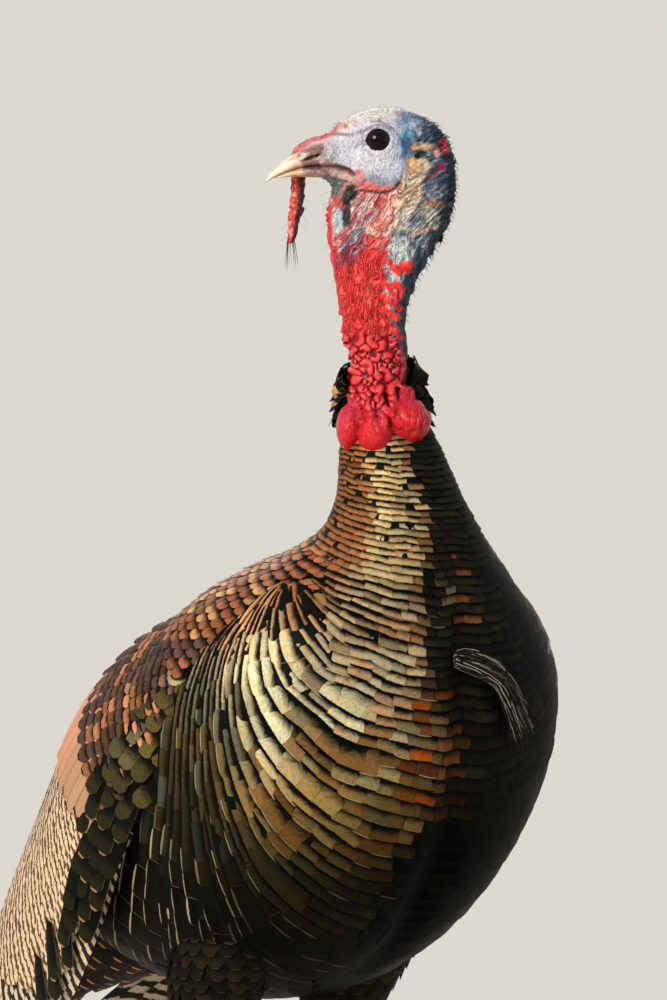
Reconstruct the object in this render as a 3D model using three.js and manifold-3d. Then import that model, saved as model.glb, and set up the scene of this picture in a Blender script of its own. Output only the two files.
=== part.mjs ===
// An adult male wild turkey standing at rest, life size, with its head turned back over its right
// shoulder. Millimetres, +Z up. The bird's body faces -Y, its left side is +X and its right side -X.
// Every solid is the outer shape of one part of the bird, out to the tips of its feathers.
import * as THREE from 'three';
import { mergeVertices } from 'three/addons/utils/BufferGeometryUtils.js';
import Module from 'manifold-3d';

const wasm = await Module();
wasm.setup();

// ---- driving dimensions --------------------------------------------------------------------
const GAP = 0.3; // clearance between two parts that touch
const NECK_AXIS_Y = -15; // the upright line about which the neck turns
const HEAD_TURN = THREE.MathUtils.degToRad(130); // how far the head looks round to its right
const TURN_START_Z = 540; // the neck begins to turn here
const TURN_END_Z = 780; // and has turned all the way here
const EYE_RADIUS = 9;
const EYE_FORWARD = 1; // eye centre in front of the neck's axis
const EYE_Z = 832;
const EYE_SIDE = 11.4; // eye centre from the middle of the head
const FOOT_X = 55;
const FOOT_Y = 82;
const HOCK = new THREE.Vector3(54, 113, 180);
const TAIL_ROOT = new THREE.Vector3(0, 246, 338);
const TAIL_DROP = THREE.MathUtils.degToRad(32); // the closed tail slopes down this much
const TAIL_LENGTH = 376;

// Sections of the feathered neck and trunk, from under the caruncles to the root of the tail:
// the point on the back (y, z), the point on the breast or belly (y, z), and the half width.
const BODY = [
  [6, 652, -46, 650, 26],
  [6, 627, -60, 625, 34],
  [4, 603, -79, 590, 42],
  [8, 582, -93, 560, 56],
  [22, 568, -100, 528, 80],
  [46, 558, -104, 490, 109],
  [76, 545, -102, 448, 131],
  [107, 529, -94, 402, 139],
  [137, 509, -74, 354, 136],
  [165, 487, -40, 311, 127],
  [192, 461, 6, 280, 117],
  [218, 433, 58, 262, 105],
  [242, 405, 112, 258, 92],
  [262, 381, 163, 267, 78],
  [279, 361, 207, 285, 63],
  [294, 346, 243, 304, 47],
];
const NECK_END = 3.6; // row of BODY where the neck is parted from the trunk

// Sections of the bare neck and head, before they are turned: the point on the nape or crown
// (forward of the neck's axis, z), the point on the throat (forward, z), and the half width.
const HEAD = [
  [-21, 652, 25, 654, 21],
  [-18, 675, 23, 675, 19.5],
  [-16, 706, 23.5, 700, 19],
  [-19, 726, 28, 722, 20],
  [-26.5, 744, 31.5, 745, 20.5],
  [-36, 760, 33.8, 762, 21],
  [-45, 776, 34.5, 777, 21],
  [-49.5, 793, 34.2, 789, 20.5],
  [-50.3, 809, 33.2, 797, 20],
  [-47.3, 825.5, 33, 800.7, 19.5],
  [-38.6, 840.5, 33.2, 802.4, 19.2],
  [-23, 850.3, 34, 803.6, 19],
  [-6, 853.5, 35, 804.4, 18.2],
  [11, 851.5, 36, 805, 16.8],
  [25, 844.5, 37, 805.4, 14.2],
  [36.5, 834.5, 38, 805.6, 11.5],
];
const BARE_NECK_END = 5.5; // row of HEAD where the bare neck is parted from the head

// ---- small tools ---------------------------------------------------------------------------
// Runs smoothly through the rows of a table; s = 0 is the first row and s = 1 the second.
function rowAt(table, s) {
  const last = table.length - 1;
  const i = Math.min(Math.max(Math.floor(s), 0), last - 1);
  const t = s - i;
  const pick = (k) => table[Math.min(Math.max(k, 0), last)];
  const [a, b, c, d] = [pick(i - 1), pick(i), pick(i + 1), pick(i + 2)];
  return b.map((_, k) => 0.5 * (2 * b[k] + (c[k] - a[k]) * t
    + (2 * a[k] - 5 * b[k] + 4 * c[k] - d[k]) * t * t
    + (3 * b[k] - a[k] - 3 * c[k] + d[k]) * t * t * t));
}

function power(value, exponent) {
  return Math.sign(value) * Math.abs(value) ** exponent;
}

// Turns a point of the neck or head about the neck's upright axis, more the higher it is.
function turned(point) {
  const turn = -HEAD_TURN * THREE.MathUtils.smoothstep(point.z, TURN_START_Z, TURN_END_Z);
  const arm = new THREE.Vector3(point.x, point.y - NECK_AXIS_Y, 0);
  arm.applyAxisAngle(new THREE.Vector3(0, 0, 1), turn);
  return new THREE.Vector3(arm.x, arm.y + NECK_AXIS_Y, point.z);
}

// A point of the straight head: side is to the bird's left, forward is from the neck's axis.
function headPoint(side, forward, z) {
  return turned(new THREE.Vector3(side, NECK_AXIS_Y - forward, z));
}

function meshFrom(points, faces) {
  let volume = 0;
  for (const [a, b, c] of faces) {
    volume += points[a].dot(points[b].clone().cross(points[c]));
  }
  const outward = volume > 0 ? faces : faces.map(([a, b, c]) => [a, c, b]);
  const geometry = new THREE.BufferGeometry().setFromPoints(points);
  geometry.setIndex(outward.flat());
  return geometry;
}

// A closed skin over a row of rings that all have the same number of points.
function loft(rings) {
  const count = rings[0].length;
  const points = rings.flat();
  const faces = [];
  for (let r = 0; r < rings.length - 1; r++) {
    for (let k = 0; k < count; k++) {
      const a = r * count + k;
      const b = r * count + (k + 1) % count;
      faces.push([a, b, b + count], [a, b + count, a + count]);
    }
  }
  for (const first of [0, (rings.length - 1) * count]) {
    const middle = new THREE.Vector3();
    for (let k = 0; k < count; k++) {
      middle.addScaledVector(points[first + k], 1 / count);
    }
    points.push(middle);
    const centre = points.length - 1;
    for (let k = 0; k < count; k++) {
      const pair = [first + k, first + (k + 1) % count];
      faces.push(first === 0 ? [centre, pair[1], pair[0]] : [centre, pair[0], pair[1]]);
    }
  }
  return meshFrom(points, faces);
}

// A round-sectioned body along a row of [point, radius across, radius the other way]. A phase of
// a half puts a flat side, not a corner, underneath.
function limb(stations, sides = 10, phase = 0) {
  const rings = stations.map(([centre, across, other = across], i) => {
    const before = stations[Math.max(i - 1, 0)][0];
    const after = stations[Math.min(i + 1, stations.length - 1)][0];
    const along = after.clone().sub(before).normalize();
    const guide = Math.abs(along.x) < 0.9 ? new THREE.Vector3(1, 0, 0) : new THREE.Vector3(0, 1, 0);
    const up = along.clone().cross(guide).normalize();
    const side = up.clone().cross(along).normalize();
    return Array.from({ length: sides }, (_, k) => {
      const angle = (2 * Math.PI * (k + phase)) / sides;
      return centre.clone().addScaledVector(side, across * Math.cos(angle))
        .addScaledVector(up, other * Math.sin(angle));
    });
  });
  return loft(rings);
}

// A thin curved body between an outer and an inner sheet, each given by (u, v) from 0 to 1.
function slab(uSteps, vSteps, outer, inner) {
  const points = [];
  for (const sheet of [outer, inner]) {
    for (let i = 0; i <= uSteps; i++) {
      for (let j = 0; j <= vSteps; j++) {
        points.push(sheet(i / uSteps, j / vSteps));
      }
    }
  }
  const row = vSteps + 1;
  const sheetSize = (uSteps + 1) * row;
  const faces = [];
  for (let i = 0; i < uSteps; i++) {
    for (let j = 0; j < vSteps; j++) {
      const a = i * row + j;
      const quad = [a, a + 1, a + row + 1, a + row];
      faces.push([quad[0], quad[1], quad[2]], [quad[0], quad[2], quad[3]]);
      const under = quad.map((k) => k + sheetSize);
      faces.push([under[0], under[2], under[1]], [under[0], under[3], under[2]]);
    }
  }
  const rim = [];
  for (let j = 0; j < vSteps; j++) rim.push(j);
  for (let i = 0; i < uSteps; i++) rim.push(i * row + vSteps);
  for (let j = vSteps; j > 0; j--) rim.push(uSteps * row + j);
  for (let i = uSteps; i > 0; i--) rim.push(i * row);
  rim.forEach((a, k) => {
    const b = rim[(k + 1) % rim.length];
    faces.push([a, a + sheetSize, b + sheetSize], [a, b + sheetSize, b]);
  });
  return meshFrom(points, faces);
}

function solid(geometry) {
  geometry.deleteAttribute('normal');
  geometry.deleteAttribute('uv');
  const merged = mergeVertices(geometry, 1e-4);
  return new wasm.Manifold(new wasm.Mesh({
    numProp: 3,
    vertProperties: new Float32Array(merged.attributes.position.array),
    triVerts: new Uint32Array(merged.index.array),
  }));
}

// What is left of a body once its neighbours are cut from it, without stray crumbs.
function cut(body, ...neighbours) {
  const left = neighbours.reduce((rest, other) => rest.subtract(other), body);
  return left.decompose().sort((a, b) => b.volume() - a.volume())[0];
}

function geometryOf(body) {
  const mesh = body.getMesh();
  const geometry = new THREE.BufferGeometry();
  geometry.setAttribute('position', new THREE.BufferAttribute(mesh.vertProperties, 3));
  geometry.setIndex(new THREE.BufferAttribute(mesh.triVerts, 1));
  geometry.computeVertexNormals();
  return geometry;
}

const turkey = new THREE.Group();

function add(name, body, [color, roughness]) {
  const material = new THREE.MeshStandardMaterial({ color, roughness, metalness: 0 });
  const mesh = new THREE.Mesh(geometryOf(body), material);
  mesh.name = name;
  turkey.add(mesh);
}

const BRONZE = ['#6d5f3c', 0.55];
const COPPER = ['#7a4a30', 0.5];
const BARRED = ['#6a5a48', 0.7];
const BLACK = ['#1c1712', 0.7];
const RED_SKIN = ['#b3202c', 0.5];
const BLUE_SKIN = ['#8f9bb5', 0.6];
const HORN = ['#d9bda0', 0.45];
const LEG_SKIN = ['#a8736a', 0.6];
const CLAW = ['#3a2c24', 0.5];
const EYE = ['#140f0d', 0.1];

// ---- trunk and feathered neck --------------------------------------------------------------
// The outer surface of the plumage: s counts the rows of BODY, and the angle is 0 on the back,
// 90 degrees on the bird's left and 180 on the breast.
const GROOVE_DEPTH = 7; // the feathers part along the middle of the breast
const GROOVE_WIDTH = 11;
function bodyPoint(s, angle, grow) {
  const [backY, backZ, breastY, breastZ, halfWidth] = rowAt(BODY, s);
  const middle = new THREE.Vector3(0, (backY + breastY) / 2, (backZ + breastZ) / 2);
  const toBack = new THREE.Vector3(0, backY, backZ).sub(middle);
  const half = toBack.length();
  toBack.normalize();
  const roundness = 2 / 2.15;
  const side = (halfWidth + grow) * power(Math.sin(angle), roundness);
  let up = (half + grow) * power(Math.cos(angle), roundness);
  const onBreast = THREE.MathUtils.smoothstep(s, 1.5, 4) * (1 - THREE.MathUtils.smoothstep(s, 8, 11));
  if (up < 0) up += onBreast * GROOVE_DEPTH * Math.exp(-((side / GROOVE_WIDTH) ** 2));
  const point = middle.addScaledVector(toBack, up);
  point.x = side;
  return point;
}

function bodyPiece(from, to, rings, sides, grow) {
  const list = Array.from({ length: rings + 1 }, (_, r) => {
    const s = from + ((to - from) * r) / rings;
    return Array.from({ length: sides }, (_, k) => bodyPoint(s, (2 * Math.PI * k) / sides, grow));
  });
  return solid(loft(list));
}

const PART_STEP = 0.008; // half the gap between neck and trunk, in rows of BODY
const lastBodyRow = BODY.length - 1;
const trunk = bodyPiece(NECK_END + PART_STEP, lastBodyRow, 16, 30, 0);
const trunkGrown = bodyPiece(NECK_END - 4 * PART_STEP, lastBodyRow + PART_STEP, 16, 30, GAP);

// ---- caruncles: three smooth fleshy knobs at the foot of the bare neck ---------------------
// Each is [name, x, y, z, half width, half depth, half height], set before the throat.
const CARUNCLES = [
  ['left', 3, -41, 648, 14.5, 13, 16.5],
  ['middle', -20, -38, 641.5, 11, 12, 15.5],
  ['right', -31, -20, 644, 10, 12, 16],
];
function knob([, x, y, z, width, depth, height], grow) {
  const ball = new THREE.SphereGeometry(1, 12, 7);
  ball.rotateX(Math.PI / 2);
  ball.scale(width + grow, depth + grow, height + grow);
  ball.rotateZ(-HEAD_TURN / 3);
  ball.translate(x, y, z);
  return solid(ball);
}
const knobs = CARUNCLES.map((row) => knob(row, 0));
const knobsGrown = CARUNCLES.map((row) => knob(row, GAP));

const neckFeathered = cut(bodyPiece(0, NECK_END - PART_STEP, 5, 20, 0), ...knobsGrown);
const neckTopGrown = bodyPiece(-0.02, 3, 4, 20, GAP);

// ---- bare neck, head, eyes and bill --------------------------------------------------------
// The head is widest a little below the crown and thins towards the hanging skin of the throat.
const THROAT_ROUNDNESS = 1.18;
const CROWN_ROUNDNESS = 0.94;
const WIDEST = 0.42;
function headRing(s, sides, grow) {
  const [napeF, napeZ, throatF, throatZ, halfWidth] = rowAt(HEAD, s);
  const nape = new THREE.Vector2(napeF, napeZ);
  const throat = new THREE.Vector2(throatF, throatZ);
  const middle = nape.clone().lerp(throat, WIDEST);
  return Array.from({ length: sides }, (_, k) => {
    const angle = (2 * Math.PI * k) / sides;
    const rise = Math.cos(angle);
    const end = rise > 0 ? nape : throat;
    const reach = end.clone().sub(middle);
    const length = reach.length() + grow;
    const amount = Math.abs(rise) ** (rise > 0 ? CROWN_ROUNDNESS : THROAT_ROUNDNESS);
    const place = middle.clone().addScaledVector(reach.normalize(), length * amount);
    const side = (halfWidth + grow) * power(Math.sin(angle), 0.95);
    return headPoint(side, place.x, place.y);
  });
}
function headPiece(from, to, rings, sides, grow) {
  const list = Array.from({ length: rings + 1 }, (_, r) => (
    headRing(from + ((to - from) * r) / rings, sides, grow)));
  return solid(loft(list));
}
const lastHeadRow = HEAD.length - 1;
const NECK_STEP = 0.01; // half the gap between bare neck and head, in rows of HEAD
const bareNeckWhole = headPiece(0.03, BARE_NECK_END - NECK_STEP, 7, 18, 0);
const bareNeck = cut(bareNeckWhole, neckTopGrown, ...knobsGrown);
const headWhole = headPiece(BARE_NECK_END + NECK_STEP, lastHeadRow, 12, 20, 0);
const headGrown = headPiece(BARE_NECK_END + NECK_STEP, lastHeadRow, 12, 20, GAP);

function eyeBall(side, radius) {
  const ball = new THREE.SphereGeometry(radius, 12, 8);
  const centre = headPoint(side * EYE_SIDE, EYE_FORWARD, EYE_Z);
  ball.translate(centre.x, centre.y, centre.z);
  return solid(ball);
}
const head = cut(headWhole, eyeBall(1, EYE_RADIUS + GAP), eyeBall(-1, EYE_RADIUS + GAP));

// Each row of the bill: forward, top z, bottom z, half width.
const BILL_TOP = [
  [38.6, 831.5, 811.2, 10],
  [47, 829, 810.6, 9.2],
  [55, 825, 809.9, 8],
  [62.5, 820, 808.8, 6.4],
  [69, 814.4, 807, 4.4],
  [73.3, 809.6, 805, 2.4],
  [75.2, 806.4, 804.4, 0.7],
];
const BILL_BELOW = [
  [38.6, 810.2, 804.6, 9],
  [48, 809.6, 804, 8],
  [57, 808.9, 804, 6.3],
  [64, 807.6, 804.4, 4.2],
  [68.5, 806.4, 804.9, 1.8],
];
const BILL_SIDES = 10;
function billPiece(rows, grow) {
  const steps = (rows.length - 1) * 1.5;
  const rings = Array.from({ length: steps + 1 }, (_, r) => {
    const [forward, top, bottom, halfWidth] = rowAt(rows, r / 1.5);
    return Array.from({ length: BILL_SIDES }, (_, k) => {
      const angle = (2 * Math.PI * (k + 0.5)) / BILL_SIDES;
      const rise = power(Math.cos(angle), 0.8);
      const z = rise > 0 ? rise * (top + grow) + (1 - rise) * (top * 0.35 + bottom * 0.65)
        : -rise * (bottom - grow) + (1 + rise) * (top * 0.35 + bottom * 0.65);
      return headPoint((halfWidth + grow) * power(Math.sin(angle), 0.9), forward, z);
    });
  });
  return solid(loft(rings));
}
const billUpper = billPiece(BILL_TOP, 0);
const billLower = cut(billPiece(BILL_BELOW, 0), billPiece(BILL_TOP, GAP));

// ---- snood: a fleshy finger from the brow, hanging past the right side of the bill ---------
const SNOOD = [
  [0, 34, 833.5, 4],
  [-1, 40, 832.5, 5.4],
  [-4, 46.5, 828.5, 5.4],
  [-9, 51.5, 822, 4.6],
  [-13, 53, 813, 4.1],
  [-14, 54, 800, 4],
  [-13.6, 56, 783, 3.8],
  [-13, 58, 768, 3],
  [-12.8, 58.6, 764, 1.5],
];
const snoodStations = SNOOD.map(([side, forward, z, r]) => [headPoint(side, forward, z), r]);
const snood = cut(solid(limb(snoodStations, 8)), headGrown, billPiece(BILL_TOP, GAP),
  billPiece(BILL_BELOW, GAP));

// ---- beard: a brush of long bristles from the middle of the breast -------------------------
const BEARD = [
  [0, -90, 490, 4],
  [1, -104, 488, 4.6],
  [6, -116, 483, 6],
  [14, -125, 472, 8.5],
  [23, -130, 457, 10],
  [30, -132, 441, 6],
  [32, -132, 434, 2],
];
const beardStations = BEARD.map(([x, y, z, r]) => [new THREE.Vector3(x, y, z), r, r * 0.6]);
const beard = cut(solid(limb(beardStations, 8)), trunkGrown);

// ---- wings: folded along the flanks, with the breast feathers over their fronts ------------
// Rows run from the shoulder to the tip: upper edge, middle and lower edge, each (x, y, z), for
// the bird's left wing.
const WING = [
  [80, 10, 500, 104, 0, 480, 112, -8, 455],
  [88, 58, 517, 130, 40, 486, 128, 30, 446],
  [92, 108, 504, 136, 90, 457, 134, 68, 408],
  [94, 162, 469, 134, 138, 421, 131, 102, 368],
  [93, 200, 425, 125, 171, 380, 121, 134, 330],
  [88, 237, 375, 112, 204, 336, 110, 167, 294],
  [79, 277, 322, 96, 244, 291, 94, 209, 259],
  [67, 316, 272, 78, 290, 250, 76, 264, 230],
  [54, 356, 224, 59, 344, 214, 57, 333, 206],
];
const WING_DEPTH = 26; // in the middle, where the body's side is cut from it
const WING_EDGE = 1.2;
function wingPoint(side, length, chord, depth) {
  const row = rowAt(WING, length * (WING.length - 1));
  const at = (k) => new THREE.Vector3(row[k], row[k + 1], row[k + 2]);
  const [upper, middle, lower] = [at(0), at(3), at(6)];
  const a = (1 - chord) * (1 - 2 * chord);
  const b = 4 * chord * (1 - chord);
  const c = chord * (2 * chord - 1);
  const point = upper.multiplyScalar(a).addScaledVector(middle, b).addScaledVector(lower, c);
  point.x = (point.x - depth) * side;
  return point;
}
// One layer of the wing between two lengths and two chords; a tooth every pitch along its end.
const TOOTH_DEPTH = 0.05; // of the layer's length
function wingPiece(side, [length0, length1], [chord0, chord1], teeth, grow) {
  const stretch = (u, v) => {
    const notch = teeth ? 1 - Math.abs(Math.sin(Math.PI * teeth * v)) : 0;
    return length0 + (length1 - length0) * u * (1 - TOOTH_DEPTH * notch);
  };
  const chordAt = (v) => chord0 + (chord1 - chord0) * v;
  const thick = (u, v) => {
    const round = 4 * chordAt(v) * (1 - chordAt(v));
    const l = length0 + (length1 - length0) * u;
    return WING_EDGE + (WING_DEPTH - WING_EDGE) * Math.sqrt(Math.max(round, 0)) * (1 - l) ** 1.1;
  };
  return solid(slab(4, teeth ? teeth * 2 : 6,
    (u, v) => wingPoint(side, stretch(u, v), chordAt(v), -grow),
    (u, v) => wingPoint(side, stretch(u, v), chordAt(v), thick(u, v) + grow)));
}
const COVERT_END = 0.475; // along the wing's length
const SECONDARIES_END = 0.86;
const SPLIT = 0.66; // where the chord passes from secondaries to primaries
const WING_STEP = 0.0012;
function wing(side) {
  const flight = COVERT_END + WING_STEP;
  const primariesGrown = wingPiece(side, [COVERT_END, 1], [SPLIT - 0.003, 1], 4, GAP);
  const secondaries = wingPiece(side, [flight, SECONDARIES_END], [0, SPLIT], 7, 0);
  return {
    coverts: wingPiece(side, [0, COVERT_END], [0, 1], 0, 0),
    secondaries: cut(secondaries, primariesGrown),
    primaries: wingPiece(side, [flight, 1], [SPLIT, 1], 4, 0),
  };
}

// ---- tail: eighteen feathers closed into a narrow fan, with coverts above and below --------
const TAIL_FEATHERS = 18;
const tailAlong = new THREE.Vector3(0, Math.cos(TAIL_DROP), -Math.sin(TAIL_DROP));
const tailUp = new THREE.Vector3(0, Math.sin(TAIL_DROP), Math.cos(TAIL_DROP));
const TAIL_WIDTHS = [[34], [48], [58], [63], [60]]; // half widths along the tail
const TAIL_ARCH = 0.28; // drop of the sides, as a part of the half width
function tailPoint(along, across, rise) {
  const [halfWidth] = rowAt(TAIL_WIDTHS, along * (TAIL_WIDTHS.length - 1));
  const arch = TAIL_ARCH * halfWidth * across * across;
  const point = TAIL_ROOT.clone().addScaledVector(tailAlong, along * TAIL_LENGTH);
  point.addScaledVector(tailUp, rise - arch);
  point.x = halfWidth * across;
  return point;
}
function tailEnd(across) {
  const scallop = 0.016 * Math.abs(Math.cos((Math.PI * TAIL_FEATHERS * across) / 2));
  return 1 - 0.07 * across * across - 0.016 + scallop;
}
const tailFeathers = solid(slab(3, 2 * TAIL_FEATHERS,
  (u, v) => tailPoint(u * tailEnd(2 * v - 1), 2 * v - 1, 5 - 3.5 * u),
  (u, v) => tailPoint(u * tailEnd(2 * v - 1), 2 * v - 1, -5 + 3.5 * u)));
const tail = cut(tailFeathers, trunkGrown);
// Coverts lie on the tail like a shallow cap that thins to its rounded end.
function tailCoverts(sign, reach, depth) {
  const end = (across) => reach * Math.sqrt(1 - 0.8 * across * across);
  const faceOfTail = (u) => sign * (5 - 3.5 * u + GAP);
  return cut(solid(slab(5, 8,
    (u, v) => {
      const across = 2 * v - 1;
      const height = depth * (1 - u) * (1 - 0.7 * across * across) + 1;
      const along = u * end(across);
      return tailPoint(along, across * 0.97, faceOfTail(along) + sign * height);
    },
    (u, v) => {
      const along = u * end(2 * v - 1);
      return tailPoint(along, (2 * v - 1) * 0.97, faceOfTail(along));
    })), trunkGrown);
}

// ---- legs ----------------------------------------------------------------------------------
// Feathered thigh rows: x, y, z, half width, half depth.
const THIGH = [
  [56, 66, 312, 38, 56],
  [57, 78, 284, 33, 45],
  [57, 89, 258, 27, 34],
  [56, 100, 232, 20, 24],
  [55, 108, 208, 14.5, 16],
  [54, 112, 188, 11, 11.5],
];
const SHANK_TOP_Z = 187;
const SHANK_END_Z = 22;
const SHANK_RADIUS = 6.6;
const TOE_SIDES = 8;
const TOE_FLAT = Math.cos(Math.PI / TOE_SIDES); // from its middle to its flat, in radii
const FLOOR_SINK = 0.15; // how far a toe is pared where it stands
const TOE_RADIUS = 6;
// Toes: name, heading from straight ahead (towards the outside), length, lift of the root.
const TOES = [
  ['inner', -34, 52, 0],
  ['middle', -4, 78, 0],
  ['outer', 30, 56, 0],
  ['hind', 172, 30, 3],
];
const CLAW_LENGTH = 13;

function plainBox(width, depth, height, x, y, z) {
  const box = new THREE.BoxGeometry(width, depth, height);
  box.translate(x, y, z);
  return solid(box);
}
const underFloor = plainBox(600, 600, 40, 0, FOOT_Y, -20);

function thigh(side) {
  const stations = THIGH.map(([x, y, z, across, deep]) => (
    [new THREE.Vector3(side * x, y, z), across, deep]));
  return cut(solid(limb(stations, 12)), trunkGrown);
}
function shank(side) {
  const rows = [
    [HOCK.x, HOCK.y, SHANK_TOP_Z - GAP, 9, 10.5],
    [HOCK.x, HOCK.y + 1, HOCK.z - 8, 8.4, 11],
    [54, 108, 155, 6.6, 7.6],
    [54.5, 100, 115, SHANK_RADIUS - 0.6, SHANK_RADIUS],
    [55, 91, 66, SHANK_RADIUS - 0.6, SHANK_RADIUS],
    [55, 85, 32, SHANK_RADIUS + 0.4, SHANK_RADIUS + 1],
    [FOOT_X, FOOT_Y + 1, SHANK_END_Z, SHANK_RADIUS + 1.5, SHANK_RADIUS + 2],
  ];
  const stations = rows.map(([x, y, z, across, deep]) => (
    [new THREE.Vector3(side * x, y, z), across, deep]));
  const footRoom = plainBox(80, 80, 40, side * FOOT_X, FOOT_Y, SHANK_END_Z + GAP - 20);
  const thighRoom = plainBox(80, 80, 40, side * FOOT_X, HOCK.y, SHANK_TOP_Z + 20);
  return cut(solid(limb(stations, 10)), footRoom, thighRoom);
}
function toePath(side, heading, length, lift) {
  const angle = THREE.MathUtils.degToRad(heading);
  const ahead = new THREE.Vector3(side * Math.sin(angle), -Math.cos(angle), 0);
  const root = new THREE.Vector3(side * FOOT_X, FOOT_Y, TOE_RADIUS + 2 + lift);
  return (t, radius, z) => {
    const point = root.clone().addScaledVector(ahead, t * length);
    const resting = radius * TOE_FLAT - FLOOR_SINK;
    point.z = z ?? THREE.MathUtils.lerp(root.z, resting, Math.min(1, t * 3));
    return point;
  };
}
function toe(side, [, heading, length, lift]) {
  const path = toePath(side, heading, length, lift);
  const stations = [0, 0.25, 0.5, 0.75, 1].map((t, i) => {
    const pad = i % 2 ? 0.5 : 0; // a pad under every second station
    const radius = THREE.MathUtils.lerp(TOE_RADIUS, 3.7, t) + pad - (t === 1 ? 1 : 0);
    return [path(t, radius), radius, radius];
  });
  return solid(limb(stations, TOE_SIDES, 0.5));
}
function foot(side) {
  const ball = new THREE.SphereGeometry(1, 8, 5);
  ball.rotateX(Math.PI / 2);
  ball.scale(SHANK_RADIUS + 2.6, SHANK_RADIUS + 3.4, 12);
  ball.translate(side * FOOT_X, FOOT_Y, 13);
  const roof = plainBox(80, 80, 30, side * FOOT_X, FOOT_Y, SHANK_END_Z + 15);
  const toes = TOES.map((row) => toe(side, row));
  return cut(toes.reduce((sum, one) => sum.add(one), solid(ball)), roof, underFloor);
}
function claw(side, [, heading, length, lift], footBody) {
  const path = toePath(side, heading, length, lift);
  const stations = [0, 0.55, 1].map((t) => {
    const radius = THREE.MathUtils.lerp(3, 0.6, t);
    const z = THREE.MathUtils.lerp(3.4, 1.1, t * t);
    return [path(0.94 + (t * CLAW_LENGTH) / length, radius, z), radius * 0.8, radius];
  });
  return cut(solid(limb(stations, 6)), footBody, underFloor);
}
// The spur is a horn cone on the back and inner side of the shank.
const SPUR_Z = 62;
const SPUR_LENGTH = 20;
function spur(side) {
  const away = new THREE.Vector3(-side * 0.45, 0.87, 0.2).normalize();
  const root = new THREE.Vector3(side * 55, 90, SPUR_Z).addScaledVector(away, SHANK_RADIUS - 1.6);
  const stations = [0, 0.35, 0.7, 1].map((t) => {
    const centre = root.clone().addScaledVector(away, t * SPUR_LENGTH);
    centre.z += 4 * t * t;
    return [centre, THREE.MathUtils.lerp(4.6, 0.6, t)];
  });
  return solid(limb(stations, 6));
}

// ---- assembly ------------------------------------------------------------------------------
add('trunk', trunk, BRONZE);
add('neck_feathered', neckFeathered, BRONZE);
add('neck_bare', bareNeck, RED_SKIN);
knobs.forEach((body, i) => add(`caruncle_${CARUNCLES[i][0]}`, cut(body, ...knobsGrown.slice(0, i)),
  RED_SKIN));
add('head', head, BLUE_SKIN);
add('eye_left', eyeBall(1, EYE_RADIUS), EYE);
add('eye_right', eyeBall(-1, EYE_RADIUS), EYE);
add('bill_upper', billUpper, HORN);
add('bill_lower', billLower, HORN);
add('snood', snood, RED_SKIN);
add('beard', beard, BLACK);
add('tail', tail, BARRED);
add('tail_coverts_upper', tailCoverts(1, 0.62, 30), COPPER);
add('tail_coverts_lower', tailCoverts(-1, 0.5, 26), COPPER);

for (const [name, side] of [['left', 1], ['right', -1]]) {
  const layers = wing(side);
  const leg = { thigh: thigh(side), shank: shank(side), foot: foot(side), spur: spur(side) };
  const thighGrown = solid(limb(THIGH.map(([x, y, z, across, deep]) => (
    [new THREE.Vector3(side * x, y, z), across + GAP, deep + GAP])), 12));
  add(`wing_coverts_${name}`, cut(layers.coverts, trunkGrown), COPPER);
  add(`wing_secondaries_${name}`, cut(layers.secondaries, trunkGrown, thighGrown), BARRED);
  add(`wing_primaries_${name}`, cut(layers.primaries, trunkGrown, thighGrown), BARRED);
  add(`thigh_${name}`, leg.thigh, BLACK);
  add(`shank_${name}`, cut(leg.shank, leg.spur), LEG_SKIN);
  add(`spur_${name}`, leg.spur, CLAW);
  add(`foot_${name}`, leg.foot, LEG_SKIN);
  TOES.forEach((row) => add(`claw_${row[0]}_${name}`, claw(side, row, leg.foot), CLAW));
}

// The origin is the middle of the bottom of the whole bird's box.
const box = new THREE.Box3().setFromObject(turkey);
const middle = box.getCenter(new THREE.Vector3());
turkey.position.set(-middle.x, -middle.y, -box.min.z);
turkey.updateMatrixWorld(true);

export default turkey;
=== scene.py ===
import math

import bmesh
import bpy
import numpy as np
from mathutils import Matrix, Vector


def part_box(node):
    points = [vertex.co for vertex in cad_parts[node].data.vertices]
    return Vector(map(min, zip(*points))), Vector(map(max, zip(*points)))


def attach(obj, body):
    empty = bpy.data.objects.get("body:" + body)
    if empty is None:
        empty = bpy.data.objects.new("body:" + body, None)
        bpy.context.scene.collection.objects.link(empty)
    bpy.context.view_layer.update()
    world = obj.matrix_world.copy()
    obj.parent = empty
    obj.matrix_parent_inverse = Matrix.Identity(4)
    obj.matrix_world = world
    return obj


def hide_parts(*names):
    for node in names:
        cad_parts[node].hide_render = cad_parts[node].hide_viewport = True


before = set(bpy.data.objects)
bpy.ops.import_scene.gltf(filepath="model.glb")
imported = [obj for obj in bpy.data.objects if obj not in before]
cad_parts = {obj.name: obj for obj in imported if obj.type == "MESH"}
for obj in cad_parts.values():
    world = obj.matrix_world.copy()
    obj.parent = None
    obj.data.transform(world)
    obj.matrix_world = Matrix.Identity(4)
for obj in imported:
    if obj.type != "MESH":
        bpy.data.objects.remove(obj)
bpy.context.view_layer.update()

import openvdb as vdb
from mathutils import Vector

# ---- Room -----------------------------------------------------------------------------------
# A plain studio: a wide pale floor, a pale world behind it, one large soft lamp on the side the
# bird looks to, a faint one opposite and one from behind. The camera stands far off and looks
# nearly level at the breast.
FLOOR_HALF = 7.0
ROOM_COLOUR = "#dcd9d0"
CAMERA_AZIMUTH = math.radians(-40)
CAMERA_HEIGHT_ANGLE = math.radians(3)
CAMERA_DISTANCE = 9.17
CAMERA_TARGET = Vector((-0.0161, -0.2014, 0.594))


def linear(colour):
    """An sRGB hex colour as the linear numbers that a shader takes."""
    parts = [int(colour[i:i + 2], 16) / 255 for i in (1, 3, 5)]
    return [p / 12.92 if p <= 0.04045 else ((p + 0.055) / 1.055) ** 2.4 for p in parts]


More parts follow.
